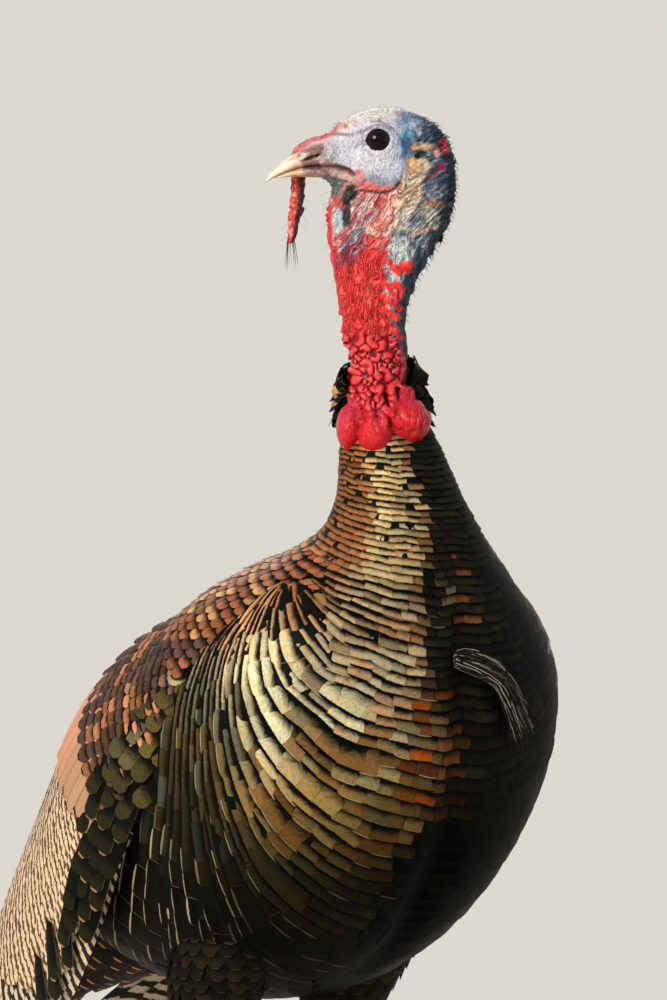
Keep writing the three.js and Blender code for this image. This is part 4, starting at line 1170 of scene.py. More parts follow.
horn, tree = new_material("bill_horn")
tone_in = node(tree, "Attribute", attribute_name="tone")
where_at = node(tree, "TexCoord")
growth = node(tree, "TexNoise", {"Vector": where_at.outputs["Object"]}, Scale=260.0, Detail=5.0,
              Roughness=0.65)
shade = node(tree, "MapRange", [growth, 0.3, 0.7, 0.84, 1.1])
tinted = node(tree, "VectorMath", [tone_in, shade], operation="MULTIPLY")
bump = node(tree, "Bump", {"Height": growth}, Strength=0.25, Distance=0.0005)
surface = node(tree, "BsdfPrincipled", {"Base Color": tinted, "Normal": bump}, Roughness=0.38,
               IOR=1.54)
node(tree, "OutputMaterial", [surface])
for name, table in (("bill_upper", BILL_TOP), ("bill_lower", BILL_BELOW)):
    field = Field((-13, 32, 800), (13, 78, 837), 0.5)
    points, faces = loft(bill_rings(table))
    field.load_mesh(points, faces)
    if name == "bill_upper":
        field.pair("ball", (6.8, 44, 824.0), (3.0, 7.5, 2.6), 2.0, tilt=-16)
        field.pair("tube", [(9.3, 39.6, 822.6), (8.9, 45, 820.8), (8.0, 50.2, 818.9)],
                   [1.0, 1.3, 0.7], 0.5, cut=True)
    where = np.nonzero(np.abs(field.value) < 1.5)
    p = field.points(where)
    base = ramp(-p[..., 1], -56, -44)
    field.value[where] -= (0.5 * base * np.abs(noise(p, (2.5, 2.2, 1.6)))).astype(np.float32)
    points, faces = field.mesh()
    f, z = points[:, 1], points[:, 2]
    soft = ramp(-(f + 2.2 * noise(points, 4) - (z - 815) * 0.3), -53.2, -50.4)
    # Towards the head the horn gives way to the skin that covers its root.
    root = ramp(-(f + 2.4 * noise(points, 3.5) + 0.3 * (z - 820)), -40, -36.4)
    mauve = painted("#7a5a58", ("#a98680", ramp(noise(points, (2.2, 9, 1.1)), -0.3, 0.4)))
    covering = painted("#bfb4c6", ("#8a6a62", zone(z, 806, 817.5, 1.6)),
                       ("#c9a3ac", ramp(z, 825, 829)))
    lips = zone(z, 812.4, 816.4, 1.0) * ramp(-f, -52, -48)
    # The horn is darker along the cutting edges, and the nostril is a slit under a mauve flap.
    if name == "bill_upper":
        low = np.interp(f, [36, 55, 62.5, 69, 75], [817, 814.6, 812, 808.8, 804.8])
        cutting_edge = ("#a07458", ramp(-(z - low), -0.9, 0.3) * 0.4)
        nostril = [("#6e4f4c", patch(f, z, (43.6, 824.6), (8, 3.0), -16, 0.4) * 0.8),
                   ("#cfc3c2", patch(f, z, (50.5, 822), (2.0, 2.6), 0, 0.5) * 0.7),
                   ("#0e0a0a", patch(f, z, (44.9, 820.9), (6.6, 1.25), -19, 0.3))]
    else:
        cutting_edge, nostril = ("#a98068", ramp(z, 807.6, 809.2) * 0.6), []
    tone = painted("#e6d2c6", ("#cca898", ramp(-f, -66, -54)), ("#f1e6d8", ramp(f, 68, 75)),
                   cutting_edge, (mauve, soft * 0.95), (covering, root),
                   ("#3f2a28", lips * 0.8), *nostril)
    points = from_head(points)
    half = link_object(name + "_horn", mesh_from(name, points, facing_out(points, faces)), horn)
    set_colours(half.data, tone=with_alpha(np.clip(tone, 0, 1)))
    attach(half, "root")
    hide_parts(name)

# ---- Body feathers --------------------------------------------------------------------------
# Contour feathers laid like roof tiles: each is a thin closed vane whose tip shows and whose
# root is under the ones before it. On the breast they are square-ended, bronze to straw with a
# narrow black line along the end; rows fan out from the shoulder and run round the neck.
def tile(along, across):
    """Faces and outline of one vane: a grid of points above, its inside again below."""
    rows, columns = len(along), len(across)
    top = np.arange(rows * columns).reshape(rows, columns)
    inside = np.zeros((rows, columns), bool)
    inside[1:-1, 1:-1] = True
    below = top.copy()
    below[inside] = rows * columns + np.arange(inside.sum())

    def quads(grid):
        return np.stack([grid[:-1, :-1], grid[:-1, 1:], grid[1:, 1:], grid[1:, :-1]],
                        -1).reshape(-1, 4)
    return np.concatenate([quads(top), quads(below)[:, ::-1]]), inside.ravel()


def vanes(surface, u, v, tau, length, width, tint, edge, cell, out=1, lift=0.0, slope=0.15,
          blunt=False, line=1.3, show=8.0, roll=0.35, arch=0.05, curl=0.0, yaw=0.0, thick=0.35,
          along=(0, 0.1, 0.3, 0.6, 1), across=(-1, -0.8, -0.3, 0.3, 0.8, 1), narrow=0.75,
          first=-1e9, straight=False):
    """Vanes on a surface: tips at (u, v), rows along tau, roots towards smaller u.

    No point lies before u = first; a straight vane keeps to its own v from tip to root.
    """
    n = len(u)
    u, v = np.asarray(u, float), np.asarray(v, float)
    full = lambda value: np.broadcast_to(np.asarray(value, float), (n,))[:, None, None]
    step = 1e-3

    def frame_at(at_u, at_v):
        du = (surface(at_u + step, at_v) - surface(at_u - step, at_v)) / (2 * step)
        dv = (surface(at_u, at_v + step) - surface(at_u, at_v - step)) / (2 * step)
        up = np.cross(dv, du) * out
        return du, dv, up / np.linalg.norm(up, axis=-1, keepdims=True)

    def shift(offset, du, dv):
        """How much u and v change to go an offset, in millimetres, along the surface."""
        uu, uv, vv = (du * du).sum(-1), (du * dv).sum(-1), (dv * dv).sum(-1)
        by_u, by_v = (offset * du).sum(-1), (offset * dv).sum(-1)
        scale = uu * vv - uv ** 2
        return (by_u * vv - by_v * uv) / scale, (by_v * uu - by_u * uv) / scale

    du, dv, normal = frame_at(u, v)
    tau = tau - (tau * normal).sum(1, keepdims=True) * normal
    tau /= np.linalg.norm(tau, axis=1, keepdims=True)
    ahead = np.cross(normal, tau)
    ahead *= np.sign((ahead * du).sum(1, keepdims=True))
    turn = np.broadcast_to(np.asarray(yaw, float), (n,))[:, None]
    tau, ahead = (tau * np.cos(turn) + ahead * np.sin(turn),
                  ahead * np.cos(turn) - tau * np.sin(turn))

    a, b = np.meshgrid(along, across, indexing="ij")
    a, b = a.ravel()[None, :, None], b.ravel()[None, :, None]
    length, width, round_off = full(length), full(width), (0.07 if blunt else 0.42)
    exponent = 6 if blunt else 2
    half = width / 2 * (1 - (0.05 if blunt else 0.0) * (1 - np.minimum(a / 0.2, 1)) ** 2)
    half = half * (1 - narrow * np.maximum(a - 0.5, 0) ** 1.3)
    x = b * half
    y = a * length + round_off * width * np.abs(b) ** exponent * (1 - a) ** 2
    # First back along the middle of the vane, then across it from there.
    by_u, by_v = shift(-y * ahead[:, None, :], du[:, None, :], dv[:, None, :])
    if straight:
        by_u, by_v = -y[..., 0] / np.linalg.norm(du, axis=1)[:, None], 0 * by_v
    at_u, at_v = np.maximum(u[:, None] + by_u, first), v[:, None] + by_v
    du, dv, up = frame_at(at_u, at_v)
    across_here = tau[:, None, :] - (tau[:, None, :] * up).sum(-1, keepdims=True) * up
    across_here /= np.linalg.norm(across_here, axis=-1, keepdims=True)
    by_u, by_v = shift(x * across_here, du, dv)
    height = (full(lift) - full(slope) * y + full(roll) * b + arch * width * (1 - b ** 2)
              + full(curl) * (1 - a) ** 3)
    points = surface(np.maximum(at_u + by_u, first), at_v + by_v) + up * height
    faces, inside = tile(along, across)
    below = points[:, inside] - up[:, inside] * full(thick)
    used = np.concatenate([np.arange(points.shape[1]), np.nonzero(inside)[0]])
    points = np.concatenate([points, below], 1)
    flat = np.ones_like(x)

    def per_point(values):
        return np.concatenate([part * flat for part in values], 2)[:, used].reshape(-1, len(values))

    chance = random.random(n)
    cell = np.asarray(cell, float)
    map_u = cell[:, 0, None] + cell[:, 2, None] * (b[..., 0] * 0.5 + 0.5) * flat[..., 0]
    map_v = cell[:, 1, None] + cell[:, 3, None] * a[..., 0] ** 0.55 * flat[..., 0]
    per = points.shape[1]
    tint, edge = np.broadcast_to(tint, (n, 3)), np.broadcast_to(edge, (n, 3))
    return {
        "points": points.reshape(-1, 3),
        "faces": (faces[None] + per * np.arange(n)[:, None, None]).reshape(-1, 4),
        "outline": np.tile(~inside[used] & (np.arange(per) < len(inside)), n),
        "map": np.stack([map_u, map_v], -1)[:, used].reshape(-1, 2),
        "vane": per_point([x, y, full(chance)]),
        "span": per_point([full(line), full(show), half]),
        "tint": with_alpha(np.repeat(tint, per, 0)),
        "edge": with_alpha(np.repeat(edge, per, 0)),
    }


def coat(name, material, batches, replaces=()):
    """Joins batches of vanes into one piece with their colours and their OFBake map."""
    start, faces = 0, []
    for batch in batches:
        faces.append(batch["faces"] + start)
        start += len(batch["points"])
    faces = np.concatenate(faces).astype(np.int32)
    whole = {key: np.concatenate([batch[key] for batch in batches])
             for key in ("points", "map", "vane", "span", "tint", "edge", "outline")}
    mesh = bpy.data.meshes.new(name)
    mesh.vertices.add(len(whole["points"]))
    mesh.vertices.foreach_set("co", place(whole["points"]).astype(np.float32).ravel())
    mesh.loops.add(faces.size)
    mesh.loops.foreach_set("vertex_index", faces.ravel())
    mesh.polygons.add(len(faces))
    mesh.polygons.foreach_set("loop_start", np.arange(0, faces.size, 4, dtype=np.int32))
    mesh.update(calc_edges=True)
    mesh.uv_layers.new(name="OFBake").uv.foreach_set(
        "vector", whole["map"][faces.ravel()].astype(np.float32).ravel())
    set_colours(mesh, **{key: whole[key] for key in ("vane", "span", "tint", "edge")})
    sharp = whole["outline"][numbers(mesh.edges, "vertices", 2, np.int32)].all(1)
    mesh.shade_smooth()
    mesh.attributes.new("sharp_edge", "BOOLEAN", "EDGE").data.foreach_set("value", sharp)
    piece = link_object(name, mesh, material)
    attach(piece, "root")
    if replaces:
        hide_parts(*replaces)
    return piece


def vane_material(name, deep, gloss, metal, fade=(0.55, 1.15), barb=1.0):
    """Barbed vane: a bright band behind the end, darker towards its root with its own dark base and
    painted shade under the row above, and a line along the end.
    """
    made, tree = new_material(name)
    vane, span, tint, edge = (
        node(tree, "Attribute", attribute_name=name) for name in ("vane", "span", "tint", "edge"))
    at = node(tree, "SeparateXYZ", [vane.outputs["Vector"]])
    size = node(tree, "SeparateXYZ", [span.outputs["Vector"]])
    x = node(tree, "Math", [at], operation="ABSOLUTE")
    # Barbs run out and forward from the shaft, about 0.5 mm apart so that they just show.
    lean = node(tree, "Math", [x, 0.75, at.outputs[1]], operation="MULTIPLY_ADD")
    apart = node(tree, "Math", [at.outputs[2], 90.0], operation="MULTIPLY")
    along = node(tree, "Math", [at, 0.22], operation="MULTIPLY")
    barb_at = node(tree, "CombineXYZ", [lean, along, apart])
    barbs = node(tree, "TexNoise", {"Vector": barb_at}, Scale=2.1, Detail=3.0, Roughness=0.6)
    blotch = node(tree, "TexNoise", {"Vector": barb_at}, Scale=0.28, Detail=2.0)
    # How far the point lies behind the line along the end, as a part of what shows.
    ragged = node(tree, "MapRange", [barbs, 0.2, 0.8, -0.5, 0.5])
    behind = node(tree, "Math", [at.outputs[1], ragged], operation="ADD")
    part = node(tree, "Math", [at.outputs[1], size.outputs[1]], operation="DIVIDE")
    uneven = node(tree, "MapRange", [blotch, 0.3, 0.7, -0.13, 0.13])
    shaded = node(tree, "Math", [part, uneven], operation="ADD")
    # Towards the root the vane turns to its deep colour: its own dark base together with painted
    # shade under the row above.
    cover = node(tree, "MapRange", [shaded, fade[0], fade[1]], interpolation_type="SMOOTHSTEP")
    line_low = node(tree, "Math", [size, 0.45], operation="ADD")
    line = node(tree, "MapRange", [behind, size, line_low, 1.0, 0.0])
    side_gap = node(tree, "Math", [size.outputs[2], x], operation="SUBTRACT")
    side_line = node(tree, "MapRange", [side_gap, 0.05, 0.4, 0.6, 0.0])
    lined = node(tree, "Math", [line, side_line], operation="MAXIMUM")
    streak = node(tree, "MapRange", [barbs, 0.3, 0.72, 1 - 0.3 * barb, 1 + 0.22 * barb])
    streaked = node(tree, "VectorMath", [tint, streak], operation="MULTIPLY")
    # Here and there the barbs part, and the bronze turns from golden to green, a painted iridescent
    # sheen.
    parting = node(tree, "TexNoise", {"Vector": barb_at}, Scale=0.7, Detail=1.0)
    off = node(tree, "Math", [parting, 0.5], operation="SUBTRACT")
    near = node(tree, "Math", [off], operation="ABSOLUTE")
    crack = node(tree, "MapRange", [near, 0.0, 0.03, 0.5, 1.0])
    turn = node(tree, "MapRange", [blotch, 0.35, 0.65])
    sheen = node(tree, "Mix", {0: turn, 6: (0.84, 0.98, 0.98, 1), 7: (1.14, 1.0, 0.8, 1)},
                 data_type="RGBA")
    for last in (crack, sheen.outputs[2]):
        streaked = node(tree, "VectorMath", [streaked, last], operation="MULTIPLY")
    covered = node(tree, "Mix", {0: cover, 6: streaked, 7: deep}, data_type="RGBA")
    whole = node(tree, "Mix", {0: lined, 6: covered.outputs[2], 7: edge}, data_type="RGBA")
    bump = node(tree, "Bump", {"Height": barbs}, Strength=0.5, Distance=0.0005)
    surface = node(tree, "BsdfPrincipled", {"Base Color": whole.outputs[2], "Normal": bump},
                   Roughness=gloss, Metallic=metal, Specular_IOR_Level=0.05,
                   Specular_Tint=(0.4, 0.4, 0.4, 1))
    node(tree, "OutputMaterial", [surface])
    return made


def breast_tint(s, phi, at):
    """Colour of the bright band of a neck or breast feather; phi is degrees from its middle."""
    n = len(s)
    drift, chance, odd = noise(at, 38), random.random(n), random.random(n)
    side = np.abs(phi)
    # The bird's left of the breast groove is painted nearly black: painted shade over the dark
    # bronze, with a faint painted blue sheen.
    edge = np.interp(s, [0, 1, 2, 3, 4, 5, 5.5, 6, 6.5, 7, 8],
                     [8, 12, 17, 22, 20, 17, 14, 5, 1, 3, 12]) + 3 * drift
    dark = zone(phi, -60, edge, 2.5)
    brick = zone(phi, 1, 19, 3) * zone(s, 5.5, 7.3, 0.2)
    tint = painted(
        "#75664a",
        ("#a8916c", zone(s, 0, 9, 0.6)),
        ("#cdb68a", zone(s, -1, 5.6, 0.8) * zone(side, -5, 75, 14)),
        ("#e9e0c0", zone(s, 5.0, 7.3, 0.6) * zone(side, 24, 115, 12)),
        ("#b09c86", zone(s, 3.6, 5.6, 0.5) * zone(side, 20, 70, 14) * 0.7),
        ("#84826f", zone(s, 3.4, 7.5, 0.5) * ramp(drift, 0.1, 0.6) * 0.6),
        ("#8c7350", zone(s, -1, 5.5, 0.6) * (chance < 0.22) * 0.6),
        ("#b9784e", ramp(noise(at + 60, 26), 0.05, 0.5) * zone(s, 0.5, 8.4, 0.6)
         * zone(side, -9, 44, 9) * 0.65),
        ("#9c5f3c", zone(s, -1, 5.2, 0.6) * zone(side, 66, 180, 12) * 0.85),
        ("#c98358", zone(s, 3.4, 6.2, 0.6) * ramp(side, 78, 96) * 0.8),
        ("#8c7a45", zone(s, 6.6, 8.9, 0.4) * zone(side, 0, 52, 8) * 0.75),
        ("#a5884e", zone(s, 7.2, 8.9, 0.4) * 0.6),
        ("#8a5f2c", zone(s, 6.2, 9.6, 0.5) * (chance < 0.3) * 0.8),
        ("#4b4630", zone(s, 8.1, 18, 0.5) * 0.9),
        ("#7c6638", zone(s, 8.0, 9.6, 0.4) * (chance > 0.72) * 0.7),
        ("#1b1d17", zone(s, 9.3, 18, 0.7) * 0.95),
        ("#33301f", ramp(side, 60, 80) * zone(s, 6.3, 18, 0.9) * 0.75),
        ("#54605c", ramp(side, 55, 75) * zone(s, 6.3, 9.5, 0.6) * (chance < 0.2) * 0.6),
        ("#7c4a2e", zone(phi, edge - 3, edge + 7, 2) * zone(s, -1, 6, 0.5) * (odd > 0.35) * 0.75),
        ("#131512", dark * 0.98),
        ("#0b1216", dark * ramp(drift, -0.3, 0.4) * 0.8),
        ("#2e2a1e", dark * (chance < 0.14) * zone(s, 0, 9, 0.5) * 0.7),
        ("#8d8468", zone(phi, 2, 10, 2) * zone(s, 3.3, 4.1, 0.15) * (chance < 0.7) * 0.8),
        ("#7a4a2c", zone(phi, -10, 2, 2) * zone(s, 3.0, 4.6, 0.2) * (chance > 0.75) * 0.8),
        ("#4a3320", brick * 0.5),
        ("#b85c1a", brick * (chance < 0.34) * ramp(noise(at + 44, 15), -0.15, 0.2) * 0.95),
        ("#84481f", brick * (chance > 0.66) * 0.9),
        ("#7d5a2a", zone(phi, 10, 34, 6) * zone(s, 6.2, 8.2, 0.3) * (odd > 0.62) * 0.8))
    tint *= np.where(odd < 0.08, 0.6, 1.0)[:, None]
    tint *= (0.74 + 0.36 * random.random(n))[:, None]
    # Everything grows darker down towards the belly: partly its own darker feathers, partly painted
    # shade on the underside.
    belly = np.interp(side, [0, 20, 45, 70], [398, 392, 372, 388])
    tint *= mix(0.14, 1, ramp(at[:, 2] + 12 * drift - belly, -48, 30))[:, None]
    return np.clip(tint, 0, 1)


ROW_AT_BREAST = [0, 4, 7.7, 9, 10.5, 12, 15]
ROW_AT_SIDE = [0, 4, 5.2, 5.8, 6.6, 8.0, 12.5]


def row_line(row, phi):
    """Where on the body a breast row runs: s at phi degrees from the middle of the breast."""
    side = np.interp(row, ROW_AT_BREAST, ROW_AT_SIDE)
    wave = noise(np.stack([row / 1.3, phi / 13, 0 * phi], -1), 1.0)
    droop = 0.2 * np.maximum(1 - (phi / 60) ** 2, 0) ** 2 * ramp(row, 2.6, 5.0)
    return (row + (side - row) * (np.abs(phi) / 92) ** 3.6 + droop
            + (0.025 + 0.05 * ramp(row, 3, 6)) * wave)


def spaced(first, last, spacing_of, along):
    """Places from first to last, a length apart that spacing_of gives in millimetres."""
    fine = np.linspace(first, last, 4000)
    points = along(fine)
    run = np.concatenate([[0], np.cumsum(np.linalg.norm(np.diff(points, axis=0), axis=1))])
    places, at = [], 0.0
    while at < run[-1]:
        here = np.interp(at, run, fine)
        places.append(here)
        at += spacing_of(here)
    return np.array(places)


def lay_rows(rows, line, limits, surface, width_of, make, ends=None):
    """Tips along each row, staggered; make turns them into vanes. Cells fill the OFBake map.

    A row runs between its limits, and no further out on either side than its end says.
    """
    ends = np.full(len(rows) + 1, 1e3) if ends is None else ends
    rows = np.asarray(rows)
    batches = []
    for k, row in enumerate(rows):
        low, high = limits(row)
        phi = np.linspace(max(low, -ends[k]), min(high, ends[k]), 240)
        u, v = line(row + 0 * phi, phi)
        points = surface(u, v)
        gone = np.linalg.norm(np.diff(points, axis=0), axis=1) / 0.8
        run = np.concatenate([[0], np.cumsum(gone / width_of(row, phi[1:]))])
        count = max(int(run[-1]), 1)
        at = (np.arange(count) + 0.5 * (k % 2)
              + random.uniform(-0.12, 0.12, count)) * run[-1] / count
        spots = np.interp(at, run, phi)
        u, v = line(row + 0 * spots, spots)
        ahead = (surface(*line(row + 0 * spots, spots + 0.3))
                 - surface(*line(row + 0 * spots, spots - 0.3)))
        cell = np.stack([(np.arange(count) + 0.5 * (k % 2)) / (count + 0.5),
                         np.full(count, k / len(rows)), np.full(count, 0.85 / (count + 0.5)),
                         np.full(count, 0.85 / len(rows))], -1)
        # What shows of a vane reaches back to the row over its root.
        reaches = ends[:max(k, 1)] > np.abs(spots)[:, None]
        over = np.where(reaches, np.arange(max(k, 1)), 0).max(1) if k else np.ones(count, int)
        before = line(rows[over], spots)
        gap = surface(*before) - surface(u, v)
        tangent = ahead / np.linalg.norm(ahead, axis=1, keepdims=True)
        show = np.linalg.norm(gap - (gap * tangent).sum(1, keepdims=True) * tangent, axis=1)
        show = np.clip(show, 3.5, 30)
        batches.append(make(row, spots, u, v, ahead, cell, show, width_of(row, spots)))
    return batches


def breast_line(row, phi):
    return row_line(row, phi), np.pi + np.radians(phi)


def breast_spacing(s):
    return float(np.interp(s, [0, 3, 5, 7, 10, 15], [4.4, 5.2, 7.0, 9.8, 11.4, 12]))


def breast_width(row, phi):
    """Feathers are wider round on the flank than on the middle of the breast."""
    return (np.interp(row, [0, 4, 6, 8, 15], [9.5, 13, 17, 20, 22])
            + 4 * ramp(np.abs(phi), 26, 64) * ramp(row, 3.7, 5.5))


def breast_vanes(row, phi, u, v, ahead, cell, show, width):
    n = len(phi)
    at = body_surface(u, v)
    ring = row < 3.7
    buff = zone(u, 9.4, 20, 0.4) * ramp(np.abs(phi), 40, 62) * (random.random(n) < 0.5)
    # On the bird's right some ends get a pale line: a painted glint of light along the end.
    painted_glint = (random.random(n) < 0.3) * zone(u, 4.5, 20, 0.6) * (phi > 10)
    edge = painted("#0a0a09", ("#b7a67e", np.maximum(buff, 0.75 * painted_glint)))
    edge = edge * mix(0.25, 1, np.maximum(ramp(at[:, 2], 345, 410),
                                          ramp(np.abs(phi), 42, 66)))[:, None]
    line = mix(random.uniform(0.6, 1.3, n) * (0.45 if ring else 1.0), 1.3, buff)
    line = line + 0.6 * zone(np.abs(phi), 34, 200, 10) * (not ring) * (1 - buff)
    line = mix(line, 0.45, painted_glint)
    lift = random.uniform(-0.3, 0.3, n) + ramp(row, 3.9, 6.5) * (
        1.6 * zone(np.abs(phi), 70, 200, 12) + 0.8 * zone(np.abs(phi), 30, 200, 12))
    return vanes(body_surface, u, v, ahead, np.clip(show * 2.5, 11, 60),
                 width * random.uniform(0.96, 1.24, n), breast_tint(u, phi, at),
                 edge, cell, lift=lift, slope=0.085, blunt=True, line=line,
                 show=show * random.uniform(0.85, 1.2, n),
                 roll=0.25 * np.sign(phi), arch=0.015, thick=0.2,
                 yaw=random.normal(0, 0.045, n), curl=random.uniform(-0.3, 0.5, n), first=-0.1)


bronze = vane_material("bronze_feather_vane", "#0c110e", 0.4, 0.3, fade=(0.42, 1.05))
breast_rows, neck_rows = (
    spaced(first, last, breast_spacing, lambda s: body_surface(s, np.full_like(s, np.pi + 0.3)))
    for first, last in ((3.55, 14.4), (0.48, 3.68)))
coat("neck_feathers", bronze,
     lay_rows(neck_rows, breast_line, lambda row: (-180, 180), body_surface, breast_width,
              breast_vanes))
# Every second row ends somewhere between the breast and the flank, where fewer, larger feathers
# carry on.
ends_at = random.uniform(24, 50, len(breast_rows)) + 46 * (breast_rows < 5.3)
row_ends = np.choose(np.arange(len(breast_rows)) % 4, [1e3, ends_at, 1e3, ends_at + 26])
coat("breast_feathers", bronze,
     lay_rows(breast_rows, breast_line,
              lambda row: np.array([-1, 1]) * np.interp(row, [3.7, 5, 8, 15], [86, 95, 101, 98]),
              body_surface, breast_width, breast_vanes, row_ends))

# ---- Back feathers --------------------------------------------------------------------------
# Rounded scale-like feathers over the shoulders, back and rump, copper pink in front and dark
# with copper sheen behind, each with a narrow black end.
def back_line(row, phi):
    return row + 0 * phi, np.radians(phi)


def back_tint(s, at):
    n = len(s)
    chance = random.random(n)
    tint = painted(
        "#ab6a4c",
        ("#e0b184", (chance > 0.75) * zone(s, 4.2, 7, 0.6) * 0.7),
        ("#d8906c", ramp(noise(at, 22), 0, 0.5) * 0.7),
        ("#99603c", (chance < 0.25) * 0.7),
        ("#33363f", ramp(noise(at + 9, 24), 0.1, 0.5) * zone(s, 4.6, 20, 0.6) * 0.85),
        ("#5b3f30", zone(s, 8.5, 30, 1.2) * 0.75),
        ("#2b2420", zone(s, 11, 30, 1.0) * 0.6))
    return tint * random.uniform(0.7, 1.15, n)[:, None]


def back_vanes(row, phi, u, v, ahead, cell, show, width):
    n = len(phi)
    return vanes(body_surface, u, v, ahead, np.clip(show * 2.6, 14, 36),
                 width * random.uniform(0.92, 1.1, n), back_tint(u, body_surface(u, v)),
                 rgb("#0b0a09"), cell, lift=random.uniform(0.2, 1.0, n), slope=0.13,
                 line=random.uniform(1.0, 1.7, n), show=show, roll=0.25 * np.sign(phi),
                 yaw=random.normal(0, 0.06, n), curl=random.uniform(-0.1, 0.8, n))


copper = vane_material("copper_feather_vane", "#17120f", 0.4, 0.28, fade=(0.5, 1.1))
back_rows = spaced(3.75, 14.8, lambda s: float(np.interp(s, [3.7, 6, 12], [6.2, 8.4, 12])),
                   lambda s: body_surface(s, np.full_like(s, 0.5)))
coat("back_feathers", copper,
     lay_rows(back_rows, back_line,
              lambda row: np.array([-1, 1]) * np.interp(row, [3.7, 4.8, 6, 8, 12, 15],
                                                        [98, 96, 88, 66, 62, 78]),
              body_surface,
              lambda row, phi: np.interp(row, [3.7, 6, 12], [9.5, 13, 20]) + 0 * phi, back_vanes))

# ---- Wings ----------------------------------------------------------------------------------
# Each folded wing: small golden scales at the bend, then larger coppery and slate coverts,
# plain pinkish bronze ones, barred secondaries stacked in strips, and dark barred primaries.
WING = [
    [80, 10, 500, 104, 0, 480, 112, -8, 455], [88, 58, 517, 130, 40, 486, 128, 30, 446],
    [92, 108, 504, 136, 90, 457, 134, 68, 408], [94, 162, 469, 134, 138, 421, 131, 102, 368],
    [93, 200, 425, 125, 171, 380, 121, 134, 330], [88, 237, 375, 112, 204, 336, 110, 167, 294],
    [79, 277, 322, 96, 244, 291, 94, 209, 259], [67, 316, 272, 78, 290, 250, 76, 264, 230],
    [54, 356, 224, 59, 344, 214, 57, 333, 206],
]


def wing_surface(side):
    def surface(length, chord):
        row = row_at(WING, length * (len(WING) - 1))
        c = chord[..., None]
        point = (row[..., 0:3] * (1 - c) * (1 - 2 * c) + row[..., 3:6] * 4 * c * (1 - c)
                 + row[..., 6:9] * c * (2 * c - 1))
        return point * (side, 1, 1)
    return surface


def chord_line(row, percent):
    return row + 0 * percent, percent / 100


def covert_tint(l, c, at):
    n = len(l)
    chance = random.random(n)
    slate = np.clip(ramp(noise(at, 20), -0.3, 0.2) * zone(l, 0.09, 0.45, 0.04)
                    + (chance > 0.7) * zone(l, 0.14, 0.45, 0.04), 0, 1)
    tint = painted(
        "#d6b684",
        ("#c5795a", zone(l, 0.08, 0.45, 0.05) * 0.8),
        ("#dc9a76", ramp(noise(at + 31, 17), 0.1, 0.5) * 0.6),
        ("#c47a5c", ramp(-c, -0.3, -0.05) * 0.7),
        ("#2c303c", slate * 0.85),
        ("#6a4a34", (chance < 0.22) * zone(l, 0.05, 0.45, 0.02) * 0.7))
    return tint * random.uniform(0.65, 1.15, n)[:, None]


LONG = (0, 0.05, 0.12, 0.2, 0.3, 0.42, 0.56, 0.72, 0.86, 1)
ROUND = (-1, -0.85, -0.5, 0, 0.5, 0.85, 1)


def strip_cells(n):
    """Places in the OFBake map of n long feathers side by side."""
    return np.stack([np.arange(n) / n, np.zeros(n), np.full(n, 0.9 / n), np.full(n, 0.98)], -1)


def strips(surface, side, tips, chords, length, width, tint, edge, **more):
    """Long feathers side by side down the wing, the upper over the lower."""
    tips, chords = np.array(tips, float), np.array(chords, float)
    n = len(chords)
    tau = surface(tips, chords + 0.02) - surface(tips, chords - 0.02)
    return vanes(surface, tips, chords, tau, length, width, tint, edge, strip_cells(n), out=side,
                 straight=True, along=LONG, across=ROUND, **more)


def barred_material(name, light, dark, pitch, waves, gloss=0.5, band=0.5, bars=1.0,
                    grain=(1.0, 1.0), ends=()):
    """A vane crossed by uneven dark bars a pitch apart, in millimetres, with a plain end.

    With no bars it is streaked by its grain: how fast that changes across and along the vane.
    ends gives how far each end mark reaches back and its colour, the widest first.
    """
    made, tree = new_material(name)
    vane = node(tree, "Attribute", attribute_name="vane")
    tint = node(tree, "Attribute", attribute_name="tint")
    at = node(tree, "SeparateXYZ", [vane.outputs["Vector"]])
    x = node(tree, "Math", [at], operation="ABSOLUTE")
    shifted = node(tree, "Math", [at.outputs[2], 60.0], operation="MULTIPLY")
    spot = node(tree, "CombineXYZ", [at, at.outputs[1], shifted])
    wobble = node(tree, "TexNoise", {"Vector": spot}, Scale=0.16, Detail=3.0, Roughness=0.55)
    drawn = node(tree, "VectorMath", [spot, (*grain, 1.0)], operation="MULTIPLY")
    fine = node(tree, "TexNoise", {"Vector": drawn}, Scale=1.3, Detail=3.0)
    slant = node(tree, "Math", [x, 0.8, at.outputs[1]], operation="MULTIPLY_ADD")
    waved = node(tree, "Math", [wobble, waves, slant], operation="MULTIPLY_ADD")
    turns = node(tree, "Math", [waved, 2 * math.pi / pitch], operation="MULTIPLY")
    swing = node(tree, "Math", [turns], operation="SINE")
    barring = node(tree, "Math", [swing, bars], operation="MULTIPLY")
    rough = node(tree, "Math", [fine, 1.6, barring], operation="MULTIPLY_ADD")
    bar = node(tree, "MapRange", [rough, 0.8 + band, 1.3 + band], interpolation_type="SMOOTHSTEP")
    base = node(tree, "VectorMath", [tint, linear(light)], operation="MULTIPLY")
    colours = node(tree, "Mix", {0: bar, 6: base, 7: dark}, data_type="RGBA")
    last = colours.outputs[2]
    for reach, tone in ends:
        end = node(tree, "MapRange", [waved, reach + 0.5 * waves, reach * 1.15 + 0.5 * waves + 0.3,
                                      1.0, 0.0])
        ended = node(tree, "Mix", {0: end, 6: last, 7: tone}, data_type="RGBA")
        last = ended.outputs[2]
    shaft = node(tree, "MapRange", [x, 0.35, 0.7, 0.55, 0.0])
    shafted = node(tree, "Mix", {0: shaft, 6: last, 7: "#5a4632"}, data_type="RGBA")
    bump = node(tree, "Bump", {"Height": fine}, Strength=0.4, Distance=0.0005)
    surface = node(tree, "BsdfPrincipled", {"Base Color": shafted.outputs[2], "Normal": bump},
                   Roughness=gloss, Specular_IOR_Level=0.1)
    node(tree, "OutputMaterial", [surface])
    return made


